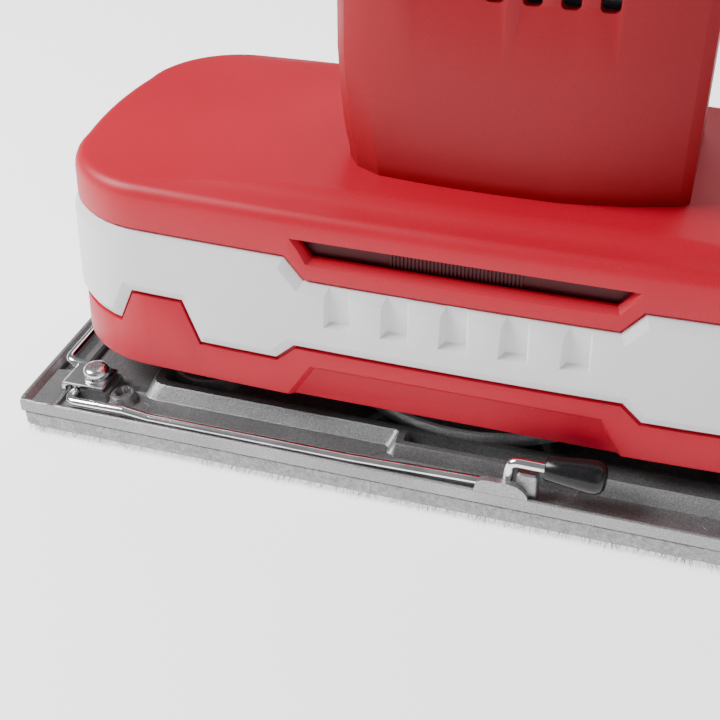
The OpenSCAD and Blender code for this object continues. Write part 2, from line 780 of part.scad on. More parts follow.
// Bracket that ties the upper bearing to the motor housing's walls
module upper_bracket() color([0.15, 0.15, 0.16]) difference() {
    union() {
        translate([axis_x, 0, up_z - 1]) cylinder(r = up_r + 3, h = up_h + 2.5);
        intersection() {
            translate([tower_x0, -5, up_z - 1]) cube([tower_x1 - tower_x0, 10, 3]);
            hull() {
                tower_slab(tower_z0 + 28, -wall, tower_lean);
                tower_slab(tower_z + 40, -wall, tower_lean);
            }
        }
    }
    translate([axis_x, 0, up_z]) cylinder(r = up_r, h = up_h);
    translate([axis_x, 0, 0]) cylinder(r = up_r - 3, h = up_z + up_h);
    translate([axis_x, 0, up_z + up_h - eps]) cylinder(r = journal_r + 1, h = 20);
}

module field_core() color([0.35, 0.35, 0.37]) difference() {
    intersection() {
        translate([axis_x - 30, -tower_w, core_z]) cube([60, 2 * tower_w, core_l]);
        at_z(core_z) linear_extrude(core_l) polygon(tower_pts(-wall - 0.4, 0));
    }
    translate([axis_x, 0, core_z - 1]) cylinder(r = core_d / 2 + air_gap, h = core_l + 2);
    for (s = [-1, 1]) translate([axis_x + s * 21.5 - 2, -15, core_z - 1]) cube([4, 30, core_l + 2]);
}

module field_coils() color([0.65, 0.33, 0.15]) translate([axis_x, 0, core_z])
    for (s = [-1, 1]) translate([s * 21.5, 0, 0]) difference() {
        union() {
            translate([-2, -15, -coil_h + 1]) cube([4, 30, core_l + 2 * coil_h - 2]);
        }
        translate([-4, -10, core_l + 1]) cube([8, 20, 1.5]);
    }

module brush_holders() color([0.75, 0.6, 0.25]) translate([axis_x, 0, comm_z + comm_h / 2])
    both_sides() difference() {
        translate([-5, comm_r + 1, -4.5]) cube([10, tower_w / 2 - wall - comm_r - 2, 9]);
        translate([-3.5, comm_r, -3]) cube([7, 30, 6]);
    }

module carbon_brushes() color([0.15, 0.15, 0.15]) translate([axis_x, 0, comm_z + comm_h / 2])
    both_sides() translate([-3.45, comm_r + 0.1, -2.95]) cube([6.9, 6, 5.9]);

module brush_springs() color("silver") translate([axis_x, 0, comm_z + comm_h / 2])
    both_sides() translate([0, comm_r + 6.1, 0]) rotate([-90, 0, 0])
        ring(2.4, 1.6, tower_w / 2 - wall - comm_r - 7.2);

module motor_shaft() color("lightgray") translate([axis_x, 0, 0]) {
    at_z(ecc_z + 1) cylinder(r = shaft_r, h = up_z - 2 - ecc_z);
    at_z(up_z - 1 - eps) cylinder(r = journal_r, h = up_h + 2);
}

module armature_core() color([0.4, 0.4, 0.42]) translate([axis_x, 0, core_z]) difference() {
    cylinder(r = core_d / 2, h = core_l);
    at_z(-1) cylinder(r = shaft_r, h = core_l + 2);
    for (i = [0:11]) rotate([0, 0, 30 * i]) translate([core_d / 2 - 3, -0.8, -1])
        cube([6, 1.6, core_l + 2]);
}

module armature_windings() color([0.7, 0.36, 0.16]) translate([axis_x, 0, core_z]) {
    at_z(-coil_h) ring(core_d / 2 - 3, shaft_r, coil_h);
    at_z(core_l) ring(core_d / 2 - 3, shaft_r, coil_h);
}

module commutator() color([0.75, 0.45, 0.25]) translate([axis_x, 0, comm_z]) difference() {
    cylinder(r = comm_r, h = comm_h);
    at_z(-1) cylinder(r = shaft_r, h = comm_h + 2);
    for (i = [0:23]) rotate([0, 0, 15 * i]) translate([comm_r - 1.2, -0.2, -1])
        cube([3, 0.4, comm_h + 2]);
}

module cooling_fan() color([0.2, 0.2, 0.22]) translate([axis_x, 0, fan_z]) difference() {
    union() {
        at_z(fan_h - 2) cylinder(r = fan_r, h = 2);
        cylinder(r = shaft_r + 5, h = fan_h);
        for (i = [0:fan_blades - 1]) rotate([0, 0, i * 360 / fan_blades])
            translate([fan_r * 0.62, -0.6, 0]) cube([fan_r * 0.37, 1.2, fan_h - 1]);
    }
    at_z(-1) cylinder(r = shaft_r, h = fan_h + 2);
}

module eccentric() color([0.5, 0.5, 0.52]) difference() {
    union() {
        translate([axis_x, 0, ecc_z]) cylinder(r = shaft_r + 8, h = ecc_h);
        translate([axis_x, 0, ecc_z]) difference() {
            cylinder(r = 33, h = ecc_h - 3);
            translate([-7, -40, -1]) cube([80, 80, 40]);
        }
        at_z(hub_z + ecc_bearing_h) cylinder(r = pin_r + 2.5, h = ecc_z - hub_z - ecc_bearing_h + eps);
        at_z(hub_z) cylinder(r = pin_r, h = ecc_z - hub_z);
    }
    translate([axis_x, 0, ecc_z + 1]) cylinder(r = shaft_r, h = 30);
    at_z(hub_z - 1) cylinder(r = 2.5, h = 10);
}

module eccentric_screw() color("dimgray") {
    at_z(hub_z - 0.8) cylinder(r = pin_r + 1.8, h = 0.8);
    at_z(hub_z - 1.7) cylinder(r = 4.4, h = 0.9 + eps);
    at_z(hub_z - eps) cylinder(r = 2.5, h = 8);
}

// ---------- Handle ----------

// The handle's +Y half, hollow, with stepped shoulders; the seam is on the middle plane
module handle_half() {
    shoulders = [[handle_w / 2 - 5, 0], [handle_w / 2 - 2, 1.5], [handle_w / 2, 4.5]];
    difference() {
        for (q = shoulders) translate([0, q[0], 0]) rotate([90, 0, 0]) linear_extrude(q[0])
            polygon(strip(-bar_r + q[1], bar_r - q[1]));
        translate([0, handle_w / 2 - shell_t - 1.5, 0]) rotate([90, 0, 0])
            linear_extrude(handle_w) polygon(strip(-bar_r + shell_t + 1, bar_r - shell_t - 1));
        translate([bar_cut - 400, -100, 0]) cube([400, 200, 400]);
        translate([-100, -100, foot_z - 100]) cube([500, 200, 100]);
    }
}

module handle_cuts() {
    translate([trigger_x - 2, -trigger_w / 2 - gap, trigger_z - 20])
        cube([trigger_l + 4, trigger_w + 2 * gap, 28]);
    translate([dial_x - dial_r - 1, -dial_w / 2 - gap, dial_z])
        cube([2 * dial_r + 2, dial_w + 2 * gap, 2 * dial_r]);
    translate([lock_x, -handle_w, lock_z]) rotate([-90, 0, 0])
        cylinder(r = lock_r + gap, h = handle_w);
    translate([inlet_x, 0, inlet_z]) rotate([0, 90, 0]) cylinder(r = gland_r, h = 40);
    trigger_pin_place(0);
    handle_bolts(2);
}

module trigger_pin_place(extra) {
    translate([trigger_x + 3, 0, trigger_z + 1.5]) rotate([90, 0, 0])
        cylinder(r = trigger_pin_r + extra, h = 25, center = true);
}

// Handle screws, driven from the left side
module handle_bolts(r) {
    for (p = handle_bolt_at) translate([p[0], handle_w / 2 - 3, p[1]]) rotate([90, 0, 0])
        cylinder(r = r, h = handle_w);
}

module handle_posts() {
    for (p = handle_bolt_at) translate([p[0], handle_w / 2 - 2, p[1]]) rotate([90, 0, 0])
        cylinder(r = 4, h = handle_w / 2 - 2);
}

module handle_right() color([0.76, 0.1, 0.13]) difference() {
    union() {
        handle_half();
        handle_posts();
    }
    handle_cuts();
}

module handle_left() color([0.76, 0.1, 0.13]) difference() {
    mirror([0, 1, 0]) union() {
        handle_half();
        handle_posts();
    }
    handle_cuts();
}

// Soft overmould along the upper side of the handle bar
module handle_grip() color([0.12, 0.12, 0.13]) difference() {
    translate([0, handle_w / 2 - 5, 0]) rotate([90, 0, 0]) linear_extrude(handle_w - 10)
        polygon(strip(bar_r, bar_r + grip_t));
    translate([grip_x0 - 400, -100, 0]) cube([400, 200, 400]);
    translate([0, -100, grip_z0 - 200]) cube([400, 200, 200]);
    translate([inlet_x, 0, inlet_z]) rotate([0, 90, 0]) cylinder(r = gland_r + 2.2, h = 40);
}

module handle_screws() color("dimgray")
    for (p = handle_bolt_at) translate([p[0], -handle_w / 2 + 1, p[1]]) rotate([90, 0, 0]) {
        translate([0, 0, -handle_w + 5]) cylinder(r = 2, h = handle_w - 5);
    }

module trigger() color([0.12, 0.12, 0.13]) difference() {
    side_prism([
        [trigger_x, trigger_z + 4], [trigger_x, trigger_z - 1], [trigger_x + 6, trigger_z - 4],
        [trigger_x + trigger_l * 0.8, trigger_z - 6.5], [trigger_x + trigger_l - 1, trigger_z - 5],
        [trigger_x + trigger_l, trigger_z - 2], [trigger_x + trigger_l, trigger_z + 4]
    ], trigger_w);
    trigger_pin_place(turn_gap);
}

module trigger_pin() color("lightgray") trigger_pin_place(0);

module switch_block() color([0.2, 0.2, 0.22])
    translate([trigger_x + 8, -9, trigger_z + 9.5]) cube([28, 18, 13]);

module lock_button() color([0.12, 0.12, 0.13])
    translate([lock_x, -handle_w / 2 - lock_out, lock_z]) rotate([-90, 0, 0]) {
        cylinder(r = lock_r - 0.8, h = 0.8 + eps);
        at_z(0.8) cylinder(r = lock_r, h = lock_out + 3.5);
    }

module speed_dial() color([0.15, 0.15, 0.16]) translate([dial_x, 0, dial_z]) rotate([90, 0, 0])
    translate([0, 0, -dial_w / 2]) difference() {
        cylinder(r = dial_r, h = dial_w);
        at_z(-1) cylinder(r = dial_pin_r + run_gap, h = dial_w + 2);
        for (i = [0:23]) rotate([0, 0, 15 * i]) translate([dial_r, 0, -1])
            cylinder(r = 0.7, h = dial_w + 2, $fn = 16);
    }

module speed_board() color([0.1, 0.35, 0.2]) {
    translate([dial_x - 7, dial_w / 2 + 0.6, dial_z - 13]) cube([16, 1.6, 14]);
    translate([dial_x, dial_w / 2 + 0.7, dial_z]) rotate([90, 0, 0])
        cylinder(r = dial_pin_r, h = dial_w + 1);
}

module capacitor() color([0.75, 0.6, 0.15])
    translate([inlet_x - 26, 0, tower_z - 11]) rotate([0, 90, 0]) cylinder(r = 5, h = 14);

// ---------- Ports ----------

module dust_spigot() color([0.12, 0.12, 0.13])
    translate([axis_x + half_bl, 0, spigot_z]) rotate([0, 90, 0]) difference() {
        union() {
            at_z(-wall - 7) cylinder(r = neck_r + 2.5, h = 2);
            at_z(-wall - 6) cylinder(r = neck_r, h = wall + 6 + band_out);
            at_z(band_out) cylinder(r = spigot_d / 2, h = spigot_l);
        }
        at_z(-30) cylinder(r = spigot_bore / 2, h = 90);
    }

module cable_inlet() color([0.12, 0.12, 0.13])
    translate([inlet_x, 0, inlet_z]) rotate([0, 90, 0]) difference() {
        union() {
            cylinder(r = gland_r, h = gland_l);
            at_z(gland_l - 5) cylinder(r = gland_r + 1.8, h = 3);
        }
        at_z(-1) cylinder(r = inlet_r, h = gland_l + 2);
    }

sole_plate();
foam_pad();
hook_face();
clamp_straps();
strap_screws();
sole_bearing();
bearing_retainer();
retainer_screws();
front_clamp_wire();
front_lever_tip();
rear_clamp_wire();
rear_lever_tip();
base_housing();
side_band();
fan_shroud();
isolator_posts();
isolator_screws();
bearing_bridge();
bridge_screws();
lower_bearing();
motor_housing();
motor_screws();
top_cap();
cap_screws();
upper_bearing();
upper_bracket();
field_core();
field_coils();
brush_holders();
carbon_brushes();
brush_springs();
motor_shaft();
armature_core();
armature_windings();
commutator();
cooling_fan();
eccentric();
eccentric_screw();
handle_left();
handle_right();
handle_grip();
handle_screws();
trigger();
trigger_pin();
switch_block();
lock_button();
speed_dial();
speed_board();
capacitor();
dust_spigot();
cable_inlet();
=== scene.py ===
import json
import math
import random
import bpy
from mathutils import Matrix, Vector

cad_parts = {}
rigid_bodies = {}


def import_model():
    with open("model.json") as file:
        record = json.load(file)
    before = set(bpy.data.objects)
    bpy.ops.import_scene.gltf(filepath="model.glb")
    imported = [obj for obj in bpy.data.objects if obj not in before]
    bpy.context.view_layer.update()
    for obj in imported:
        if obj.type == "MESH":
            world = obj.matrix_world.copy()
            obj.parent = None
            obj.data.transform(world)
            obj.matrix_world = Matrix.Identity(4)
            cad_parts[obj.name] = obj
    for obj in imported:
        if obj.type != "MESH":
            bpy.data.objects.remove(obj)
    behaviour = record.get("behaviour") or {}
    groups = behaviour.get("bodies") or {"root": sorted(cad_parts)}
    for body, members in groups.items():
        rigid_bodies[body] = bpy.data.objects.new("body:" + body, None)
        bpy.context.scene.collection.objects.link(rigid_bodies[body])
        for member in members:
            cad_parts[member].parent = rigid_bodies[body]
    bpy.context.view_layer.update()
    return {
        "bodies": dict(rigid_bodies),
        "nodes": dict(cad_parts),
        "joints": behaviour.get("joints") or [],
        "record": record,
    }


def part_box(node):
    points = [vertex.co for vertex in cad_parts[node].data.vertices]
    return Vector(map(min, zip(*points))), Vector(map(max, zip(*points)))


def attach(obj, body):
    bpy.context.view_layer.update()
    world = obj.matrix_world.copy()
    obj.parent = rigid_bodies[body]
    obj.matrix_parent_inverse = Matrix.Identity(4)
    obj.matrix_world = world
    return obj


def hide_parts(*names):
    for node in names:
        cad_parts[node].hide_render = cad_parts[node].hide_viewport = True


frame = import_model()
nodes = frame["nodes"]
mm = 0.001
print("frame loaded")


# small modelling helpers

def clearSelection():
    if bpy.context.object and bpy.context.object.mode != "OBJECT":
        bpy.ops.object.mode_set(mode="OBJECT")
    bpy.ops.object.select_all(action="DESELECT")


def makeActive(piece):
    clearSelection()
    piece.select_set(True)
    bpy.context.view_layer.objects.active = piece


def ringStack(name, rings, closed=True):
    # a disc extruded once per ring, each ring's corners then moved to their places in mm
    clearSelection()
    count = len(rings[0])
    bpy.ops.mesh.primitive_circle_add(vertices=count, radius=0.01, fill_type="NGON" if closed else "NOTHING")
    piece = bpy.context.object
    piece.name = name
    bpy.ops.object.mode_set(mode="EDIT")
    bpy.ops.mesh.select_all(action="SELECT")
    for ring in rings[1:]:
        if closed:
            bpy.ops.mesh.extrude_region_move()
        else:
            bpy.ops.mesh.extrude_edges_move()
    bpy.ops.object.mode_set(mode="OBJECT")
    places = [Vector(point) * mm for ring in rings for point in ring]
    for vertex, place in zip(piece.data.vertices, places):
        vertex.co = place
    faceOutwards(piece)
    return piece


def faceOutwards(piece):
    makeActive(piece)
    bpy.ops.object.mode_set(mode="EDIT")
    bpy.ops.mesh.select_all(action="SELECT")
    bpy.ops.mesh.normals_make_consistent(inside=False)
    bpy.ops.object.mode_set(mode="OBJECT")


def applyModifier(piece, kind, **settings):
    makeActive(piece)
    modifier = piece.modifiers.new(kind.lower(), kind)
    for key, value in settings.items():
        setattr(modifier, key, value)
    bpy.ops.object.modifier_apply(modifier=modifier.name)


def combine(piece, tool, how="DIFFERENCE"):
    applyModifier(piece, "BOOLEAN", object=tool, operation=how, solver="EXACT")
    bpy.data.objects.remove(tool)


def easeEdges(piece, width, segments=2, angle=30):
    applyModifier(piece, "BEVEL", width=width * mm, segments=segments, limit_method="ANGLE",
                  angle_limit=math.radians(angle), use_clamp_overlap=True, harden_normals=False)


def smooth(piece, angle=35):
    makeActive(piece)
    bpy.ops.object.shade_smooth_by_angle(angle=math.radians(angle))


def block(name, low, high, edge=0.0, segments=2):
    clearSelection()
    bpy.ops.mesh.primitive_cube_add(size=1, location=[(a + b) / 2 * mm for a, b in zip(low, high)])
    piece = bpy.context.object
    piece.name = name
    piece.scale = [(b - a) * mm for a, b in zip(low, high)]
    bpy.ops.object.transform_apply(location=True, rotation=True, scale=True)
    if edge:
        easeEdges(piece, edge, segments)
    return piece


def post(name, centre, radius, low, high, sides=40, edge=0.0, axis="Z"):
    clearSelection()
    turn = {"Z": (0, 0, 0), "Y": (math.pi / 2, 0, 0), "X": (0, math.pi / 2, 0)}[axis]
    middle = (low + high) / 2
    place = {"Z": (*centre, middle), "Y": (centre[0], middle, centre[1]),
             "X": (middle, *centre)}[axis]
    bpy.ops.mesh.primitive_cylinder_add(vertices=sides, radius=radius * mm, depth=(high - low) * mm,
                                        location=[v * mm for v in place], rotation=turn)
    piece = bpy.context.object
    piece.name = name
    bpy.ops.object.transform_apply(location=True, rotation=True, scale=True)
    if edge:
        easeEdges(piece, edge)
    return piece


def halfTurned(piece, name):
    # a copy of the piece turned half round the sole's middle
    copy = piece.copy()
    copy.data = piece.data.copy()
    copy.name = name
    bpy.context.collection.objects.link(copy)
    copy.data.transform(Matrix.Rotation(math.pi, 4, "Z"))
    return copy


def joined(name, parts):
    clearSelection()
    for part in parts:
        part.select_set(True)
    bpy.context.view_layer.objects.active = parts[0]
    bpy.ops.object.join()
    parts[0].name = name
    return parts[0]


def finished(piece, body, material, slotName, *replaced, angle=35):
    if angle:
        smooth(piece, angle)
    piece.data.materials.clear()
    piece.data.materials.append(material)
    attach(piece, body)
    if replaced:
        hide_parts(*replaced)
    return piece


# materials

def shaderFor(name, baseColor, roughness, metallic=0.0, **sockets):
    material = bpy.data.materials.new(name)
    material.use_nodes = True
    shader = material.node_tree.nodes["Principled BSDF"]
    shader.inputs["Base Color"].default_value = (*baseColor, 1)
    shader.inputs["Roughness"].default_value = roughness
    shader.inputs["Metallic"].default_value = metallic
    for key, value in sockets.items():
        shader.inputs[key.replace("_", " ")].default_value = value
    return material, shader


def addNode(material, kind, **values):
    node = material.node_tree.nodes.new(kind)
    for key, value in values.items():
        if key in node.inputs:
            node.inputs[key].default_value = value
        else:
            setattr(node, key, value)
    return node


def objectNoise(material, scale, detail=2.0, rough=0.5, stretch=(1, 1, 1)):
    place = addNode(material, "ShaderNodeTexCoord")
    mapping = addNode(material, "ShaderNodeMapping")
    mapping.inputs["Scale"].default_value = stretch
    noise = addNode(material, "ShaderNodeTexNoise", Scale=scale, Detail=detail, Roughness=rough)
    material.node_tree.links.new(place.outputs["Object"], mapping.inputs["Vector"])
    material.node_tree.links.new(mapping.outputs["Vector"], noise.inputs["Vector"])
    return noise


def ramp(material, source, stops):
    node = addNode(material, "ShaderNodeValToRGB")
    elements = node.color_ramp.elements
    while len(elements) < len(stops):
        elements.new(0.5)
    for element, (position, color) in zip(elements, stops):
        element.position = position
        element.color = (*color, 1)
    material.node_tree.links.new(source, node.inputs["Fac"])
    return node


def bumpFrom(material, shader, source, strength, distance, under=None):
    bump = addNode(material, "ShaderNodeBump", Strength=strength, Distance=distance)
    material.node_tree.links.new(source, bump.inputs["Height"])
    if under:
        material.node_tree.links.new(under.outputs["Normal"], bump.inputs["Normal"])
    material.node_tree.links.new(bump.outputs["Normal"], shader.inputs["Normal"])
    return bump


def tint(color, factor):
    return tuple(min(1.0, c * factor) for c in color)


def grainedPlastic(name, color, roughness, grain, spread=0.12, strength=0.25):
    # moulded plastic: a fine even grain over slow, faint changes of tone and gloss
    material, shader = shaderFor(name, color, roughness, Specular_IOR_Level=0.3)
    links = material.node_tree.links
    fine = objectNoise(material, 1000 / grain, 1.5, 0.6)
    slow = objectNoise(material, 14, 3, 0.55)
    mix = addNode(material, "ShaderNodeMix", data_type="FLOAT")
    mix.inputs[0].default_value = 0.25
    links.new(fine.outputs["Fac"], mix.inputs[2])
    links.new(slow.outputs["Fac"], mix.inputs[3])
    tone = ramp(material, mix.outputs[0], [(0.3, tint(color, 1 - spread)), (0.7, tint(color, 1 + spread))])
    links.new(tone.outputs["Color"], shader.inputs["Base Color"])
    gloss = addNode(material, "ShaderNodeMapRange")
    gloss.inputs["From Min"].default_value = 0.3
    gloss.inputs["From Max"].default_value = 0.7
    gloss.inputs["To Min"].default_value = roughness - 0.07
    gloss.inputs["To Max"].default_value = roughness + 0.09
    links.new(slow.outputs["Fac"], gloss.inputs["Value"])
    links.new(gloss.outputs["Result"], shader.inputs["Roughness"])
    bumpFrom(material, shader, fine.outputs["Fac"], strength, 0.00012)
    return material


def castMetal(name, color, roughness, grain, strength=0.5, metallic=0.75):
    # blasted die casting: coarse sparkle, slow stains and a fine pitted surface
    material, shader = shaderFor(name, color, roughness, metallic)
    links = material.node_tree.links
    fine = objectNoise(material, 1000 / grain, 2.5, 0.7)
    slow = objectNoise(material, 30, 4, 0.6)
    mix = addNode(material, "ShaderNodeMix", data_type="FLOAT")
    mix.inputs[0].default_value = 0.35
    links.new(fine.outputs["Fac"], mix.inputs[2])
    links.new(slow.outputs["Fac"], mix.inputs[3])
    tone = ramp(material, mix.outputs[0], [(0.32, tint(color, 0.62)), (0.5, color), (0.66, tint(color, 1.5))])
    links.new(tone.outputs["Color"], shader.inputs["Base Color"])
    bumpFrom(material, shader, fine.outputs["Fac"], strength, 0.0002)
    return material


def brightMetal(name, color, roughness, grain=0.3, strength=0.08, stretch=(1, 1, 1)):
    material, shader = shaderFor(name, color, roughness, 1.0)
    links = material.node_tree.links
    fine = objectNoise(material, 1000 / grain, 2, 0.6, stretch)
    slow = objectNoise(material, 120, 3, 0.5)
    tone = ramp(material, slow.outputs["Fac"], [(0.35, tint(color, 0.82)), (0.65, tint(color, 1.08))])
    links.new(tone.outputs["Color"], shader.inputs["Base Color"])
    bumpFrom(material, shader, fine.outputs["Fac"], strength, 0.0001)
    return material


redPlastic = grainedPlastic("redPlastic", (0.40, 0.0008, 0.016), 0.48, 0.32, 0.10, 0.22)
greyPlastic = grainedPlastic("greyPlastic", (0.66, 0.66, 0.67), 0.45, 0.32, 0.05, 0.2)
blackPlastic = grainedPlastic("blackPlastic", (0.022, 0.022, 0.024), 0.5, 0.4, 0.25, 0.35)
softGrip = grainedPlastic("softGrip", (0.03, 0.03, 0.032), 0.68, 0.7, 0.3, 0.6)
tipRubber = grainedPlastic("tipRubber", (0.008, 0.008, 0.009), 0.2, 1.4, 0.2, 0.25)
isolatorRubber = grainedPlastic("isolatorRubber", (0.02, 0.02, 0.02), 0.7, 0.5, 0.2, 0.3)
castAluminium = castMetal("castAluminium", (0.27, 0.27, 0.275), 0.40, 0.42, 0.55, 0.8)
zincCasting = castMetal("zincCasting", (0.30, 0.30, 0.31), 0.5, 0.5, 0.4, 0.8)
brightWire = brightMetal("brightWire", (0.82, 0.83, 0.85), 0.13, 0.25, 0.06, (0.08, 1, 1))
zincPlate = brightMetal("zincPlate", (0.80, 0.80, 0.82), 0.2, 0.35, 0.12)
bearingSteel = brightMetal("bearingSteel", (0.56, 0.57, 0.58), 0.25, 0.3, 0.08)
copperWire = brightMetal("copperWire", (0.62, 0.25, 0.10), 0.35, 0.5, 0.5, (1, 1, 0.1))
coreSteel = brightMetal("coreSteel", (0.28, 0.28, 0.30), 0.45, 0.5, 0.5, (0.02, 0.02, 3))
brassMetal = brightMetal("brassMetal", (0.72, 0.52, 0.2), 0.3, 0.4, 0.15)
carbonBlock = grainedPlastic("carbonBlock", (0.03, 0.03, 0.03), 0.4, 0.5, 0.3, 0.4)
circuitBoard = grainedPlastic("circuitBoard", (0.02, 0.16, 0.07), 0.35, 1.0, 0.25, 0.2)
capacitorCase = grainedPlastic("capacitorCase", (0.55, 0.42, 0.08), 0.4, 0.8, 0.15, 0.2)


def foamMaterial():
    # closed cells seen at the cut edge
    material, shader = shaderFor("foamCells", (0.36, 0.36, 0.36), 0.9)
    links = material.node_tree.links
    place = addNode(material, "ShaderNodeTexCoord")
    cells = addNode(material, "ShaderNodeTexVoronoi", Scale=1400.0)
    links.new(place.outputs["Object"], cells.inputs["Vector"])
    slow = objectNoise(material, 900, 4, 0.7)
    tone = ramp(material, slow.outputs["Fac"], [(0.32, (0.20, 0.20, 0.20)), (0.52, (0.31, 0.31, 0.31)),
                                                (0.7, (0.42, 0.42, 0.42))])
    links.new(tone.outputs["Color"], shader.inputs["Base Color"])
    bumpFrom(material, shader, cells.outputs["Distance"], 0.7, 0.0003)
    return material


def pileMaterial():
    material, shader = shaderFor("pileFibres", (0.2, 0.2, 0.2), 0.8, 0.0, Sheen_Weight=0.3)
    links = material.node_tree.links
    fine = objectNoise(material, 1500, 3, 0.7)
    tone = ramp(material, fine.outputs["Fac"], [(0.35, (0.07, 0.07, 0.07)), (0.65, (0.33, 0.33, 0.33))])
    links.new(tone.outputs["Color"], shader.inputs["Base Color"])
    bumpFrom(material, shader, fine.outputs["Fac"], 1.0, 0.0004)
    return material


foamCells = foamMaterial()
pileFibres = pileMaterial()
darkFibres = shaderFor("darkFibres", (0.05, 0.05, 0.05), 0.7)[0]
# painted shade: a darker copy of the red plastic, given to the motor housing to stand in for the shade on its
# walls
shadedRedPlastic = grainedPlastic("shadedRedPlastic", (0.24, 0.0005, 0.006), 0.55, 0.32, 0.10, 0.22)
# painted shade: a very dark red for the slot screens, standing in for the shade inside the slots
slotShadeRedPlastic = grainedPlastic("slotShadeRedPlastic", (0.07, 0.001, 0.005), 0.5, 0.32, 0.1, 0.2)
print("materials made")


# base housing and its band

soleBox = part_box("sole_plate")
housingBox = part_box("base_housing")

housing = {
    "centre": (housingBox[0].x + housingBox[1].x) / 2 / mm,
    "halfLength": (housingBox[1].x - housingBox[0].x) / 2 / mm,
    "halfWidth": (housingBox[1].y - housingBox[0].y) / 2 / mm + 0.4,
    "cornerRadius": 28,
    "sideBulge": 1.8,
    "endBulge": 1.5,
    "low": housingBox[0].z / mm,
    "deck": 71,
    "top": housingBox[1].z / mm,
    "wall": 2.8,
    "draft": 2.0,
    "deckRound": 3.4,
}


def planRing(z, inset, size=housing):
    # the housing's outline at one height: bulged sides, round corners and bulged ends
    length = size["halfLength"] - inset
    width = size["halfWidth"] - inset
    radius = max(size["cornerRadius"] - inset, 0.5)
    straight = length - size["endBulge"] - radius
    across = width - size["sideBulge"] - radius
    quarter = []
    for step in range(6):
        x = straight * step / 6
        quarter.append((x, width - size["sideBulge"] * (x / straight) ** 2))
    for step in range(13):
        angle = math.radians(90 - 7.5 * step)
        quarter.append((straight + radius * math.cos(angle), across + radius * math.sin(angle)))
    for step in range(1, 5):
        y = across * (1 - step / 4)
        quarter.append((length - size["endBulge"] * (y / across) ** 2, y))
    ring = quarter[:]
    ring += [(x, -y) for x, y in quarter[-2::-1]]
    ring += [(-x, -y) for x, y in quarter[1:]]
    ring += [(-x, y) for x, y in quarter[-2:0:-1]]
    return [(x + size["centre"], y, z) for x, y in ring]


def drafted(z):
    return (z - housing["low"]) * math.tan(math.radians(housing["draft"]))


def mixedRing(first, second, share, z):
    return [(a[0] + (b[0] - a[0]) * share, a[1] + (b[1] - a[1]) * share, z)
            for a, b in zip(first, second)]


band = {
    "topEnds": 59.0, "topMiddle": 53.4, "lowMiddle": 35.0, "lowEnds": 30.6, "wrap": 32.6,
    "tooth": 41.8, "middleHalf": 37.4, "slopeHalf": 42.2, "lowHalf": 40.0, "lowSlope": 44.8,
    "toothStart": 65.1, "toothIn": 69.7, "toothOut": 83.7, "toothEnd": 87.9,
    "proud": 1.0, "sunk": 0.45, "chamfer": 2.5, "seat": 1.0, "gapAround": 0.75,
    "notches": 5, "pitch": 14.2, "notchWidth": 6.4, "notchLow": 42.6, "notchFloor": 1.55,
}


def bandOutline(grow):
    # the zigzag outline, in length and height, from the middle of the upper edge round to the end
    b = band
    lean = grow * 0.45
    upper = [(b["middleHalf"] - lean, b["topMiddle"] + grow), (b["slopeHalf"] - lean, b["topEnds"] + grow),
             (140, b["topEnds"] + grow)]
    lower = [(140, b["wrap"] - grow), (b["toothEnd"] - lean, b["wrap"] - grow),
             (b["toothOut"] - lean, b["tooth"] - grow), (b["toothIn"] + lean, b["tooth"] - grow),
             (b["toothStart"] + lean, b["lowEnds"] - grow), (b["lowSlope"] - lean, b["lowEnds"] - grow),
             (b["lowHalf"] - lean, b["lowMiddle"] - grow)]
    right = upper + lower
    left = [(-x, z) for x, z in reversed(right)]
    return [(x + housing["centre"], z) for x, z in right + left]


def sidePrism(name, outline, y0, y1):
    return ringStack(name, [[(x, y0, z) for x, z in outline], [(x, y1, z) for x, z in outline]])


def bodySolid(name, low, high, inset):
    return ringStack(name, [planRing(low, inset + drafted(low)), planRing(high, inset + drafted(high))])


def bothSides(makeTool):
    # the same tool for the near side (-1) and the far side (1)
    return [makeTool(side) for side in (-1, 1)]


def sideTool(name, side, layers):
    # layers: (depth from the middle plane, outline); the tool is lofted through them
    centre = housing["centre"]
    return ringStack(name, [[(x + centre, side * depth, z) for x, z in outline] for depth, outline in layers])


def trapeze(halfLow, halfHigh, low, high):
    return [(-halfLow, low), (halfLow, low), (halfHigh, high), (-halfHigh, high)]


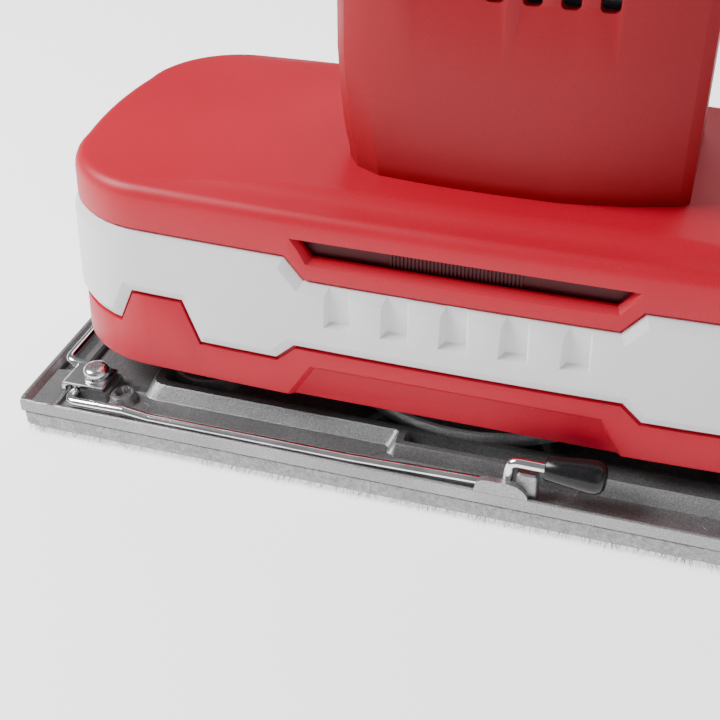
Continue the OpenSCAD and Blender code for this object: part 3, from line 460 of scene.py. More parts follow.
def makeBaseShell():
    s = housing
    wall, deck, low = s["wall"], s["deck"], s["low"]
    tower = dict(s, halfLength=48, halfWidth=36, cornerRadius=14, sideBulge=0.5, endBulge=0.5,
                 centre=housing["centre"] + 6)
    rings = [planRing(deck - wall - 0.5, drafted(deck) + wall + 3),
             planRing(deck - wall - 3, drafted(deck) + wall),
             planRing(low, wall), planRing(low, 0.5), planRing(low + 0.5, 0)]
    rings.append(planRing(deck - s["deckRound"], drafted(deck - s["deckRound"])))
    for angle in (18, 36, 54, 72):
        rise = math.sin(math.radians(angle))
        inset = 1 - math.cos(math.radians(angle))
        rings.append(planRing(deck - s["deckRound"] * (1 - rise), drafted(deck) + s["deckRound"] * inset))
    edge = planRing(deck, drafted(deck) + s["deckRound"] + 0.6)
    crown = planRing(s["top"], 0, tower)
    rings.append(edge)
    for share in (0.35, 0.7, 1.0):
        rise = math.sin(share * math.pi / 2) ** 1.3
        rings.append(mixedRing(edge, crown, share, deck + (s["top"] - deck) * rise))
    rings.append(planRing(s["top"], 10, tower))
    shell = ringStack("baseShell", rings)
    # seat of the band, a shallow pocket a little larger than the band
    seat = sidePrism("seat", bandOutline(band["gapAround"]), -70, 70)
    combine(seat, bodySolid("core", low - 6, deck + 8, band["seat"]))
    combine(shell, seat)
    for side in (-1, 1):
        slotTool = sideTool("slotTool", side, [
            (51, trapeze(38.6, 44.9, 55.8, 66.9)), (44.6, trapeze(35.7, 39.1, 59.2, 63.5)),
            (36, trapeze(35.7, 39.1, 59.2, 63.5))])
        combine(shell, slotTool)
        panelTool = sideTool("panelTool", side, [
            (50.4, trapeze(46.6, 37.3, low - 3, 32.8)), (46.2, trapeze(42.2, 35.0, low - 3, 28.5))])
        combine(shell, panelTool)
    combine(shell, post("deckHole", (s["centre"], 0), 23, 60, 90, 64))
    combine(shell, post("spigotHole", (0, 46), 15, 90, 125, 64, axis="X"))
    easeEdges(shell, 0.32, 2, 24)
    return shell


def makeBand():
    s = housing
    ringSolid = sidePrism("sideBand", bandOutline(0), -70, 70)
    combine(ringSolid, bodySolid("skin", s["low"] - 4, s["deck"] + 6, band["sunk"]), "INTERSECT")
    combine(ringSolid, bodySolid("core", s["low"] - 5, s["deck"] + 7, band["seat"] + 0.1))
    raiseSkin(ringSolid)
    for side in (-1, 1):
        for index in range(band["notches"]):
            x = (index - (band["notches"] - 1) / 2) * band["pitch"]
            half = band["notchWidth"] / 2
            face = s["halfWidth"] + band["proud"] - drafted(47)
            floor = face - band["notchFloor"] - 0.2
            low, high = band["notchLow"], band["topMiddle"] + 2

            def frameAt(grow):
                return [(x - half - grow, low - grow), (x + half + grow * 0.6, low - grow),
                        (x + half + grow * 0.6, high), (x - half - grow, high)]
            tool = sideTool("notchTool", side, [(face + 1, frameAt(1.0)), (floor, frameAt(-0.9))])
            combine(ringSolid, tool)
    combine(ringSolid, post("spigotHole", (0, 46), 15.2, 90, 125, 64, axis="X"))
    easeEdges(ringSolid, 0.22, 2, 14)
    return ringSolid


def raiseSkin(piece):
    # the outer faces are inset and lifted together, which leaves the wide chamfer round the outline
    makeActive(piece)
    bpy.ops.object.mode_set(mode="EDIT")
    bpy.ops.mesh.select_all(action="DESELECT")
    bpy.ops.object.mode_set(mode="OBJECT")
    centre = Vector((housing["centre"] * mm, 0, 0))
    for face in piece.data.polygons:
        outward = face.center - centre
        outward.z = 0
        flat = Vector((face.normal.x, face.normal.y, 0))
        upright = abs(face.normal.z) < 0.2 and flat.dot(outward.normalized()) > 0.15
        face.select = upright and onSkin(face.center)
    bpy.ops.object.mode_set(mode="EDIT")
    bpy.ops.mesh.inset(thickness=band["chamfer"] * mm, depth=(band["proud"] + band["sunk"]) * mm,
                       use_even_offset=True, use_boundary=True)
    bpy.ops.object.mode_set(mode="OBJECT")


def onSkin(place):
    # true where a point lies on the drafted outer wall and not on a cut face of the outline
    ring = planRing(place.z / mm, drafted(place.z / mm) + band["sunk"])
    x, y = place.x / mm, place.y / mm
    nearest = 99.0
    for (ax, ay, _), (bx, by, _) in zip(ring, ring[1:] + ring[:1]):
        dx, dy = bx - ax, by - ay
        share = max(0.0, min(1.0, ((x - ax) * dx + (y - ay) * dy) / (dx * dx + dy * dy)))
        nearest = min(nearest, math.hypot(x - ax - dx * share, y - ay - dy * share))
    return nearest < 0.12


baseShell = makeBaseShell()
finished(baseShell, "housing", redPlastic, "red_plastic", "base_housing")
sideBand = makeBand()
finished(sideBand, "housing", greyPlastic, "grey_plastic", "side_band", angle=25)
print("base housing made")

# sole plate

sole = {
    "halfLength": soleBox[1].x / mm,
    "halfWidth": soleBox[1].y / mm,
    "low": soleBox[0].z / mm,
    "floor": 8.2,
    "rimTop": 9.6,
    "strapScrew": (-97.8, 45.5),
    "frame": [(-83.5, -43.5), (-14.5, -43.5), (-14.5, -47.0), (83.5, -47.0),
              (83.5, 43.5), (14.5, 43.5), (14.5, 47.0), (-83.5, 47.0)],
    "frameTop": 12.0,
    "frameRound": 4.5,
    "frameSpread": 1.9,
    "discRadius": 42,
    "discTop": 14.4,
    "ejectors": [(-84, -50.5), (-16.75, -51.5), (29.2, -52.3), (64, -51.2)],
}


def offsetOutline(corners, grow):
    # moves every edge of a square-cornered outline outwards by the same amount
    moved = []
    count = len(corners)
    for index, corner in enumerate(corners):
        before = Vector(corners[index - 1])
        here = Vector(corner)
        after = Vector(corners[(index + 1) % count])
        first = (here - before).normalized()
        second = (after - here).normalized()
        outFirst = Vector((first.y, -first.x))
        outSecond = Vector((second.y, -second.x))
        moved.append(here + (outFirst + outSecond) * grow)
    return moved


def roundedOutline(corners, radius, steps=5):
    # round corners, with the same number of points whatever the size
    points = []
    count = len(corners)
    for index in range(count):
        here = Vector(corners[index])
        back = (Vector(corners[index - 1]) - here)
        ahead = (Vector(corners[(index + 1) % count]) - here)
        reach = min(radius, back.length * 0.45, ahead.length * 0.45)
        start = here + back.normalized() * reach
        end = here + ahead.normalized() * reach
        for step in range(steps + 1):
            share = step / steps
            points.append((start * (1 - share) ** 2 + here * 2 * share * (1 - share) + end * share ** 2))
    return [(point.x, point.y) for point in points]


def loft(name, layers, radius):
    # layers: (height, outline corners); corners rounded alike at every height
    return ringStack(name, [[(x, y, z) for x, y in roundedOutline(corners, radius)] for z, corners in layers])


def rectangle(x0, x1, y0, y1):
    return [(x0, y0), (x1, y0), (x1, y1), (x0, y1)]


def prismAlongY(name, profile, y0, y1):
    return ringStack(name, [[(x, y0, z) for x, z in profile], [(x, y1, z) for x, z in profile]])


def makeSolePlate():
    s = sole
    length, width, low, floor = s["halfLength"], s["halfWidth"], s["low"], s["floor"]
    plate = block("solePlate", (-length, -width, low), (length, width, floor))
    halves = []
    rimProfile = [(0, floor - 0.5), (0, s["rimTop"] - 0.3), (0.35, s["rimTop"]), (0.75, s["rimTop"]),
                  (1.0, s["rimTop"] - 0.3), (1.6, floor - 0.1), (1.6, floor - 0.5)]
    rim = ringStack("rim", [[(x, -width + y, z) for y, z in rimProfile] for x in (-length, length)])
    halves.append(rim)
    # end block: thin outer rim, a groove and the ramp that the paper is folded over
    endProfile = [(-length, floor - 0.5), (-length, 9.9), (-length + 0.3, 10.3), (-length + 1.2, 10.3),
                  (-length + 2.6, 8.75), (-length + 3.3, 8.75), (-length + 9.6, 9.7),
                  (-length + 10.3, 9.3), (-length + 10.6, floor - 0.5)]
    ends = prismAlongY("endBlock", endProfile, -width, width)
    for side in (-1, 1):
        taper = prismAlongY("taper", [(-length - 1, 12), (-length - 1, 9.2), (-length + 12, 10.2),
                                      (-length + 12, 12)], side * (width + 1), side * (width - 0.9))
        combine(ends, taper)
    halves.append(ends)
    for side in (-1, 1):
        foot = rectangle(-105.0, -92.4, *sorted((side * 40.4, side * 50.6)))
        head = rectangle(-105.0, -92.9, *sorted((side * 40.9, side * 50.1)))
        halves.append(loft("strapBlock", [(floor - 0.3, foot), (10.9, head)], 1.0))
        boss = ringStack("boss", [circleRing((-89.9, side * 47.5), radius, z) for radius, z in
                                  ((4.4, floor - 0.3), (3.7, 8.7), (3.4, 10.0), (3.1, 10.35))])
        combine(boss, ringStack("bossHole", [wobblyRing((-89.7, side * 47.3), 1.7, 8.7),
                                             wobblyRing((-89.7, side * 47.3), 2.1, 10.1),
                                             wobblyRing((-89.7, side * 47.3), 2.9, 11.0)]))
        halves.append(boss)
        halves.append(loft("web", [(floor - 0.3, rectangle(-90, -84, *sorted((side * 36, side * 43.5)))),
                                   (9.7, rectangle(-90, -84.4, *sorted((side * 36.4, side * 42.9))))], 1.2))
    # seat for the lever's kink and the half-round lug on the rim
    halves.append(loft("leverPost", [(floor - 0.3, rectangle(16.9, 22.9, -56.0, -51.4)),
                                     (15.2, rectangle(17.4, 22.4, -55.6, -51.8)),
                                     (15.7, rectangle(17.8, 22.0, -55.2, -52.2))], 0.8))
    lug = [(7.6, 9.2), (8.2, 12.2), (9.4, 13.0), (11, 13.2), (16.2, 13.2)]
    lug += [(16.2 + 5 * math.sin(math.radians(a)), 8.2 + 5 * math.cos(math.radians(a)))
            for a in (20, 40, 60, 80)]
    lug += [(21.3, 8.6), (7.6, 8.6)]
    halves.append(prismAlongY("lug", lug, -width + 0.06, -width + 1.8))
    # the frame's pocket beside the lever
    frame = loft("frameSolid", [(floor - 0.3, offsetOutline(s["frame"], s["frameSpread"] + 0.5)),
                                (floor + 0.25, offsetOutline(s["frame"], s["frameSpread"])),
                                (s["frameTop"] - 0.3, offsetOutline(s["frame"], 0.25)),
                                (s["frameTop"], offsetOutline(s["frame"], -0.1))], s["frameRound"])
    inside = rectangle(-81.5, 81.5, -41.5, 41.5)
    combine(frame, loft("frameInside", [(floor + 0.01, offsetOutline(inside, -1.4)),
                                        (s["frameTop"] + 1, inside)], 3.5))
    for turn in (0, 1):
        pocketWall = loft("pocketWall", [(floor - 0.3, rectangle(-14.9, 32, -50.0, -42)),
                                         (s["frameTop"], rectangle(-14.5, 31, -48.6, -42))], 0.5)
        pocketHole = loft("pocketHole", [(floor + 0.05, rectangle(-12.0, 28.5, -46.4, -43.6)),
                                         (s["frameTop"] + 1, rectangle(-12.9, 29.4, -47.4, -43.4))], 0.6)
        if turn:
            for piece in (pocketWall, pocketHole):
                piece.data.transform(Matrix.Rotation(math.pi, 4, "Z"))
        combine(frame, pocketWall, "UNION")
        combine(frame, pocketHole)
    combine(plate, frame, "UNION")
    for half in halves:
        other = halfTurned(half, half.name + "Rear")
        combine(plate, half, "UNION")
        combine(plate, other, "UNION")
    for x, y in s["ejectors"]:
        for sign in (1, -1):
            mark = post("mark", (x * sign, y * sign), 2.95, floor - 0.12, floor + 0.12, 32)
            combine(mark, post("markInside", (x * sign, y * sign), 2.7, floor - 1, floor + 1, 32))
            combine(plate, mark)
    # grooves for the jaw bars and the ways for the wires' cranks, and the screw holes
    for sign in (1, -1):
        screwX, screwY = s["strapScrew"]
        combine(plate, block("jawGroove", *turned((-112.3, -41.1, 6.9), (-108.3, 41.1, 20), sign)))
        for side in (-1, 1):
            y0, y1 = sorted((side * 37.3, side * 41.1))
            combine(plate, block("crankWay", *turned((-110.4, y0, 6.9), (-100.4, y1, 20), sign)))
            combine(plate, post("screwHole", (screwX * sign, side * screwY), 2.0, 7.0, 20, 24))
            combine(plate, wireBed(side, sign))
    disc = ringStack("disc", [circleRing((0, 0), radius, z, 96) for radius, z in
                              ((s["discRadius"] + 0.6, 11.0), (s["discRadius"], 13.9),
                                (s["discRadius"] - 0.5, s["discTop"]))])
    hubRings = [circleRing((0, 0), radius, z, 64) for radius, z in
                ((20.5, 12), (19.4, 15), (19, 17.9), (18.4, 18.4))]
    combine(disc, ringStack("hub", hubRings), "UNION")
    combine(disc, post("hubBore", (0, 0), 14, 10.3, 30, 64))
    combine(disc, post("dish", (0, 0), 36, 13.4, 30, 96))
    hubAgain = ringStack("hub", hubRings)
    combine(hubAgain, post("hubBore", (0, 0), 14, 10.3, 30, 64))
    combine(disc, hubAgain, "UNION")
    combine(plate, disc, "UNION")
    combine(plate, post("bearingSeat", (0, 0), 14, 10.3, 30, 64))
    for x in (-72, 72):
        for y in (-28, 28):
            cup = ringStack("cup", [circleRing((x, y), radius, z, 40) for radius, z in
                                    ((11.2, floor - 0.3), (10.8, 11.6), (10.3, 12.0))])
            combine(cup, post("cupHole", (x, y), 8.6, floor, 20, 40))
            combine(plate, cup, "UNION")
    for index in range(6):
        angle = math.radians(60 * index)
        rib = block("rib", (40, -1, floor - 0.3), (41.5 / max(abs(math.sin(angle)), 0.52), 1, 11.2))
        rib.data.transform(Matrix.Rotation(angle, 4, "Z"))
        combine(plate, rib, "UNION")
    easeEdges(plate, 0.2, 2, 32)
    return plate


def turned(low, high, sign):
    if sign > 0:
        return low, high
    return (-high[0], -high[1], low[2]), (-low[0], -low[1], high[2])


def circleRing(centre, radius, z, sides=36):
    return [(centre[0] + radius * math.cos(2 * math.pi * k / sides),
             centre[1] + radius * math.sin(2 * math.pi * k / sides), z) for k in range(sides)]


def wobblyRing(centre, radius, z, sides=36):
    # the rough mouth of an as-cast hole
    ring = []
    for k, (x, y, z) in enumerate(circleRing((0, 0), radius, z, sides)):
        ring.append((centre[0] + x * (1 + 0.12 * math.sin(k * 1.9) + 0.08 * math.sin(k * 3.1)),
                     centre[1] + y * (1 + 0.12 * math.sin(k * 2.3)), z))
    return ring


def wireBed(side, sign):
    near, far = sorted((side * 40, side * 53))
    bed = post("wireBed", (-102.3, 9.8), 1.4, near, far, sides=24, axis="Y")
    low, high = turned((-103.7, near, 9.8), (-100.9, far, 13), sign)
    if sign < 0:
        bed.data.transform(Matrix.Rotation(math.pi, 4, "Z"))
    combine(bed, block("bedTop", low, high), "UNION")
    return bed


solePlate = makeSolePlate()
finished(solePlate, "sole", castAluminium, "cast_aluminium", "sole_plate", angle=30)
print("sole plate made")


# foam pad and hook face

pad = {
    "low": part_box("foam_pad")[0].z / mm,
    "high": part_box("foam_pad")[1].z / mm,
    "inset": 0.35,
    "fibres": 1300,
    "fibreRadius": 0.07,
}


def makePad():
    length, width = sole["halfLength"], sole["halfWidth"]
    whole = rectangle(-length, length, -width, width)
    low, high = pad["low"], pad["high"]
    foam = loft("foamPad", [(low, offsetOutline(whole, -pad["inset"] - 0.7)),
                            (low + 0.5, offsetOutline(whole, -pad["inset"] - 0.2)),
                            (low + 1.2, offsetOutline(whole, -pad["inset"])),
                            (high - 0.6, offsetOutline(whole, -pad["inset"] + 0.1)),
                            (high, offsetOutline(whole, -pad["inset"] - 0.5))], 1.5)
    hook = loft("hookFace", [(0.35, offsetOutline(whole, -pad["inset"] - 1.4)),
                             (0.5, offsetOutline(whole, -pad["inset"] - 0.9)),
                             (low, offsetOutline(whole, -pad["inset"] - 0.75))], 1.5)
    return foam, hook


def growFibres(seed):
    # short bent fibres hanging from the lower edge all the way round; three sides, one bend
    random.seed(seed)
    length, width = sole["halfLength"] - 1.2, sole["halfWidth"] - 1.2
    points, faces = [], []
    for index in range(pad["fibres"]):
        along = random.uniform(0, 4 * (length + width))
        if along < 2 * length:
            x, y, out = along - length, -width, (0, -1)
        elif along < 4 * length:
            x, y, out = along - 3 * length, width, (0, 1)
        elif along < 4 * length + 2 * width:
            x, y, out = -length, along - 4 * length - width, (-1, 0)
        else:
            x, y, out = length, along - 4 * length - 3 * width, (1, 0)
        reach = random.uniform(0.5, 1.5) if random.random() < 0.75 else random.uniform(1.4, 2.6)
        side = random.uniform(-0.9, 0.9)
        start = Vector((x, y, random.uniform(0.3, 1.0)))
        across = Vector((-out[1], out[0], 0))
        outward = Vector((out[0], out[1], 0))
        middle = start + outward * reach * 0.6 + across * side * 0.5
        middle.z += random.uniform(-0.5, 0.1)
        end = middle + outward * reach * random.uniform(0.1, 0.6) + across * side * random.uniform(-0.4, 1.6)
        end.z = random.uniform(-0.6, 0.5)
        middle.z = max(middle.z, -0.5)
        first = len(points)
        for place, size in ((start, 1.0), (middle, 0.8), (end, 0.4)):
            for corner in range(3):
                angle = corner * 2.094
                spin = across * math.cos(angle) + Vector((0, 0, 1)) * math.sin(angle)
                points.append((place + spin * pad["fibreRadius"] * size) * mm)
        for ring in (0, 3):
            for corner in range(3):
                a = first + ring + corner
                b = first + ring + (corner + 1) % 3
                faces.append((a, b, b + 3, a + 3))
        faces.append((first + 6, first + 7, first + 8))
    mesh = bpy.data.meshes.new("fibres")
    mesh.from_pydata(points, [], faces)
    fibres = bpy.data.objects.new("hookFibres", mesh)
    bpy.context.collection.objects.link(fibres)
    return fibres


foamPad, hookFace = makePad()
finished(foamPad, "sole", foamCells, "foam", "foam_pad")
finished(hookFace, "sole", pileFibres, "hook_fabric", "hook_face")
hookFibres = growFibres(7)
finished(hookFibres, "sole", darkFibres, "hook_fabric", angle=0)
print("pad made")


# paper clamps

clamp = {
    "radius": 1.3, "hinge": (-102.3, 9.8), "jaw": (-110.4, 10.6), "jawHalf": 38.8,
    "lever": -54.6, "kink": 15.2, "kinkTop": 18.2, "bend": 2.4, "sides": 20,
    "tipStart": 8.4,
    "tipProfile": [(0, 1.35), (0, 2.7), (0.4, 3.0), (4.0, 3.35), (8.4, 3.9), (10.8, 4.12), (12.3, 4.05),
                   (13.4, 3.6), (14.2, 2.6), (14.5, 1.2), (14.5, 0.02)],
}
tipWay = Vector((14.5, 0.1, -0.1)).normalized()
kinkTop = Vector((clamp["kink"] + 0.4, clamp["lever"], clamp["kinkTop"]))


def clampPath():
    c = clamp
    hingeX, hingeZ = c["hinge"]
    jawX, jawZ = c["jaw"]
    low = Vector((0, 0, hingeZ))
    return [kinkTop + tipWay * (c["tipStart"] + 8), kinkTop,
            Vector((c["kink"], c["lever"], hingeZ + 0.8)),
            Vector((-25, c["lever"] - 0.45, hingeZ - 0.1)), Vector((-79, c["lever"] - 0.4, hingeZ - 0.1)),
            Vector((-86, c["lever"] - 0.1, hingeZ + 0.5)),
            Vector((hingeX, c["lever"], hingeZ)), Vector((hingeX, -c["jawHalf"], hingeZ)),
            Vector((jawX, -c["jawHalf"], jawZ)), Vector((jawX, c["jawHalf"], jawZ)),
            Vector((hingeX, c["jawHalf"], hingeZ)), Vector((hingeX, 52, hingeZ))]


def bentPath(corners, bend, steps=7):
    points = [corners[0]]
    for before, here, after in zip(corners, corners[1:], corners[2:]):
        back = (before - here)
        ahead = (after - here)
        turn = math.pi - back.angle(ahead)
        reach = min(bend * math.tan(turn / 2), back.length * 0.45, ahead.length * 0.45)
        start = here + back.normalized() * reach
        end = here + ahead.normalized() * reach
        for step in range(steps + 1):
            share = step / steps
            points.append(start * (1 - share) ** 2 + here * 2 * share * (1 - share) + end * share ** 2)
    return points + [corners[-1]]


def tube(name, points, radius, sides):
    # rings carried along the path without twisting
    rings = []
    side = None
    for index, point in enumerate(points):
        ahead = points[min(index + 1, len(points) - 1)] - points[max(index - 1, 0)]
        ahead.normalize()
        if side is None:
            side = ahead.cross(Vector((0.1, 0.2, 1))).normalized()
        side = (side - ahead * side.dot(ahead)).normalized()
        other = ahead.cross(side)
        angles = [2 * math.pi * k / sides for k in range(sides)]
        rings.append([tuple(point + (side * math.cos(a) + other * math.sin(a)) * radius) for a in angles])
    return ringStack(name, rings)


def turnedProfile(name, profile, start, way, sides=36):
    # a round piece: (distance along the way, radius) pairs
    side = way.cross(Vector((0, 0, 1))).normalized()
    other = way.cross(side)
    rings = [[tuple(start + way * along + (side * math.cos(2 * math.pi * k / sides)
                                           + other * math.sin(2 * math.pi * k / sides)) * radius)
              for k in range(sides)] for along, radius in profile]
    return ringStack(name, rings)


wireFront = tube("clampWireFront", bentPath(clampPath(), clamp["bend"]), clamp["radius"], clamp["sides"])
tipFront = turnedProfile("leverTipFront", clamp["tipProfile"], kinkTop + tipWay * clamp["tipStart"], tipWay)
wireRear = halfTurned(wireFront, "clampWireRear")
tipRear = halfTurned(tipFront, "leverTipRear")
finished(wireFront, "front_clamp", brightWire, "bright_wire", "front_clamp_wire", angle=60)
finished(tipFront, "front_clamp", tipRubber, "tip_rubber", "front_lever_tip", angle=50)
finished(wireRear, "rear_clamp", brightWire, "bright_wire", "rear_clamp_wire", angle=60)
finished(tipRear, "rear_clamp", tipRubber, "tip_rubber", "rear_lever_tip", angle=50)

strap = {"x": (-106.4, -94.2), "halfWidth": 4.6, "low": 11.15, "high": 12.35, "screw": sole["strapScrew"],
         "cross": 0.55}


def strapOutline():
    # a bent strip: a lip at the left turned down round the casting, the right corners cut
    x0, x1 = strap["x"]
    low, high = strap["low"], strap["high"]
    return [(x0, 9.75), (x0, high - 1.3), (x0 + 0.25, high - 0.5), (x0 + 1.1, high), (x1 - 0.2, high),
            (x1, high - 0.3), (x1, low), (x0 + 1.7, low), (x0 + 1.25, low - 0.5), (x0 + 1.2, 9.75)]


def makeStrap(side):
    y = side * strap["screw"][1]
    piece = prismAlongY("strap", strapOutline(), y - strap["halfWidth"], y + strap["halfWidth"])
    combine(piece, post("hole", (strap["screw"][0], y), 2.0, 8, 20, 24))
    easeEdges(piece, 0.22, 2, 30)
    return piece


def makeScrew(side):
    x, y = strap["screw"][0], side * strap["screw"][1]
    high = strap["high"]

    def stacked(name, *profile):
        return ringStack(name, [circleRing((x, y), radius, high + rise, 48) for radius, rise in profile])
    washer = stacked("strapScrew", (3.7, 0), (3.8, 0.1), (3.8, 0.5), (3.65, 0.6))
    spring = stacked("springWasher", (3.1, 0.6), (3.3, 0.75), (3.3, 1.15), (3.1, 1.3))
    combine(spring, block("split", (x, y - 4, high + 0.62), (x + 0.5, y, high + 1.28)))
    head = stacked("head", (3.5, 1.3), (3.65, 1.5), (3.65, 2.3), (3.4, 2.9), (2.7, 3.4), (1.6, 3.62),
                   (0.5, 3.68))
    for turn in (25, 115):
        corners = ((-1, -1), (1, -1), (1, 1), (-1, 1))
        arm = ringStack("arm", [[(sx * 0.9, sy * 0.3, high + 1.9) for sx, sy in corners],
                                [(sx * 2.4, sy * strap["cross"], high + 4.0) for sx, sy in corners]])
        arm.data.transform(Matrix.Rotation(math.radians(turn), 4, "Z"))
        arm.data.transform(Matrix.Translation(Vector((x, y, 0)) * mm))
        combine(head, arm)
    easeEdges(head, 0.12, 2, 40)
    shank = post("shank", (x, y), 1.98, 7.6, high + 1.4, 24)
    return joined("strapScrew", [washer, spring, head, shank])


straps, screws = [], []
for side in (-1, 1):
    straps.append(makeStrap(side))
    screws.append(makeScrew(side))
for piece in straps[:2] + screws[:2]:
    (straps if piece in straps else screws).append(halfTurned(piece, piece.name + "Turned"))
clampStraps = joined("clampStraps", straps)
strapScrews = joined("strapScrews", screws)
finished(clampStraps, "sole", zincPlate, "zinc_steel", "clamp_straps", angle=35)
finished(strapScrews, "sole", zincPlate, "zinc_steel", "strap_screws", angle=35)
print("clamps made")


# motor housing and cap

tower = {
    "middle": 5.0,
    "foot": [(-36, -13), (-35, -19), (-31.5, -24.2), (-25.4, -27.4), (-16, -28.3), (-8, -28.8), (3, -29.0),
             (17.4, -28.7), (26, -27.3), (34, -25.6), (43.6, -22.4), (46, -20), (46, -8)],
    "upper": [(-38.8, -14), (-37.8, -20), (-34.5, -25.5), (-28, -28.8), (-17, -29.8), (-8, -30.2), (3, -30.4),
              (17.4, -30.3), (27, -29.6), (36, -27.6), (43.5, -24.2), (46, -21.5), (46, -8)],
    "low": 73.2,
    "top": 152.0,
    "wall": 2.8,
    "vents": 6,
    "bolts": [(-30, -21.5, 5.0), (-30, 21.5, 5.0), (38, -21.5, 4.3), (38, 21.5, 4.3)],
}


def towerRing(z, blend, inset=0.0):
    # the housing's outline between foot and top, drawn in towards its middle
    cx = tower["middle"]
    half = []
    for foot, upper in zip(tower["foot"], tower["upper"]):
        x = foot[0] + (upper[0] - foot[0]) * blend
        y = foot[1] + (upper[1] - foot[1]) * blend
        half.append((cx + (x - cx) * (1 - inset / 41), y * (1 - inset / 30.4)))
    return [(x, y, z) for x, y in half] + [(x, -y, z) for x, y in reversed(half)]


def makeTower():
    t = tower
    heights = [(t["low"], 0), (77, 0.12), (80, 0.35), (84, 0.55), (92, 0.8), (102, 1), (130, 1),
               (t["top"], 1)]
    shell = ringStack("motorHousing", [towerRing(z, blend) for z, blend in heights])
    cavity = [(t["low"] - 1, 0)] + heights[1:-1] + [(t["top"] + 1, 1)]
    combine(shell, ringStack("inside", [towerRing(z, blend, t["wall"]) for z, blend in cavity]))
    for index in range(t["vents"]):
        x = -18 + 8 * index
        for side in (-1, 1):
            y0, y1 = sorted((side * 20, side * 36))
            combine(shell, block("vent", (x, y0, 119), (x + 4.2, y1, 137), 1.2, 3))
    combine(shell, block("handleWay", (40, -9, 128), (52, 9, 142), 1))
    easeEdges(shell, 0.45, 2, 22)
    bosses = [shell]
    for x, y, radius in t["bolts"]:
        boss = post("boss", (x, y), 4, 138, t["top"] - 0.6, 28)
        combine(boss, post("bossHole", (x, y), 1.85, 141.5, 153, 20))
        bosses.append(boss)
    return joined("motorHousing", bosses)


def makeCap():
    top = tower["top"]
    profile = [(0.15, 0.6), (0.9, 0), (4, 0), (8, 0.8), (11.5, 2.8), (14.2, 6), (16.2, 10.5), (17.5, 16),
               (18, 21)]
    cap = ringStack("topCap", [towerRing(top + rise, 1, inset) for rise, inset in profile])
    inner = [(-1, 3.0), (5, 3.2), (10, 6), (14.5, 13)]
    combine(cap, ringStack("inside", [towerRing(top + rise, 1, inset) for rise, inset in inner]))
    for index in range(5):
        y = -12 + 6 * index
        combine(cap, block("groove", (-18, y - 1.1, top + 16.6), (26, y + 1.1, top + 30), 0.5))
    for x, y, radius in tower["bolts"]:
        combine(cap, post("seat", (x, y), 3.9, top + 5.4, top + 30, 32))
    easeEdges(cap, 0.5, 2, 24)
    cups = [cap]
    for x, y, radius in tower["bolts"]:
        cup = post("cup", (x, y), radius, top + 0.4, top + 6.6, 32)
        combine(cup, post("seat", (x, y), 3.85, top + 5.4, top + 30, 32))
        combine(cup, post("hole", (x, y), 1.85, top - 1, top + 30, 20))
        cups.append(cup)
    return joined("topCap", cups)


# the motor housing wears the darker red copy of the red plastic, which is painted shade
finished(makeTower(), "housing", shadedRedPlastic, "red_plastic", "motor_housing", angle=28)
finished(makeCap(), "housing", blackPlastic, "black_plastic", "top_cap", angle=32)
print("motor housing made")

# a red screen with fine ribs closes the inside of each slot; its very dark red is painted shade of the slot's
# recess
screen = {"depth": 42.4, "x": (-42, 40), "z": (56.6, 68.4), "ribbed": (-18, 13), "pitch": 0.9}


def makeScreen(side):
    y0, y1 = sorted((side * (screen["depth"] - 0.5), side * (screen["depth"] + 0.3)))
    back = block("slotScreen", (screen["x"][0], y0, screen["z"][0]), (screen["x"][1], y1, screen["z"][1]))
    parts = [back]
    x = screen["ribbed"][0]
    while x < screen["ribbed"][1]:
        y0, y1 = sorted((side * (screen["depth"] + 0.2), side * (screen["depth"] + 0.75)))
        parts.append(block("rib", (x, y0, screen["z"][0]), (x + 0.45, y1, screen["z"][1])))
        x += screen["pitch"]
    return joined("slotScreen", parts)


slotScreen = joined("slotScreens", bothSides(makeScreen))
finished(slotScreen, "housing", slotShadeRedPlastic, "red_plastic", angle=0)


# handle

handle = {
    "bar": [(34, 138), (74, 156), (112, 152), (134, 132)],
    "post": [(134, 132), (150, 118), (140, 99), (96, 67)],
    "halfHeight": 14.5,
    "halfWidth": 17.0,
    "power": 2.7,
    "steps": 14,
    "thin": 3.5,
    "seam": 0.12,
    "bolts": [(52, 132), (108, 148), (137, 104), (112, 87)],
    "grip": (72, 132),
}


def bezier(points, t):
    weights = ((1 - t) ** 3, 3 * t * (1 - t) ** 2, 3 * t * t * (1 - t), t ** 3)
    return Vector([sum(w * p[axis] for w, p in zip(weights, points)) for axis in (0, 1)])


def handleStations():
    # (place, direction, half height) along the bar and down the post
    steps = handle["steps"]
    stations = []
    for name in ("bar", "post"):
        for step in range(steps + 1):
            if name == "post" and step == 0:
                continue
            t = step / steps
            place = bezier(handle[name], t)
            ahead, behind = bezier(handle[name], min(t + 0.01, 1)), bezier(handle[name], max(t - 0.01, 0))
            way = (ahead - behind).normalized()
            thin = handle["thin"] * t if name == "post" else 0
            stations.append((place, way, handle["halfHeight"] - thin))
    return stations


def handleRing(station, grow, sides=40):
    place, way, high = station
    ring = []
    for k in range(sides):
        angle = 2 * math.pi * (k + 0.5) / sides
        c, s = math.cos(angle), math.sin(angle)
        across = (handle["halfWidth"] + grow) * math.copysign(abs(c) ** (2 / handle["power"]), c)
        up = (high + grow) * math.copysign(abs(s) ** (2 / handle["power"]), s)
        ring.append((place.x - way.y * up, across, place.y + way.x * up))
    return ring


def handleSolid(name, grow):
    return ringStack(name, [handleRing(station, grow) for station in handleStations()])


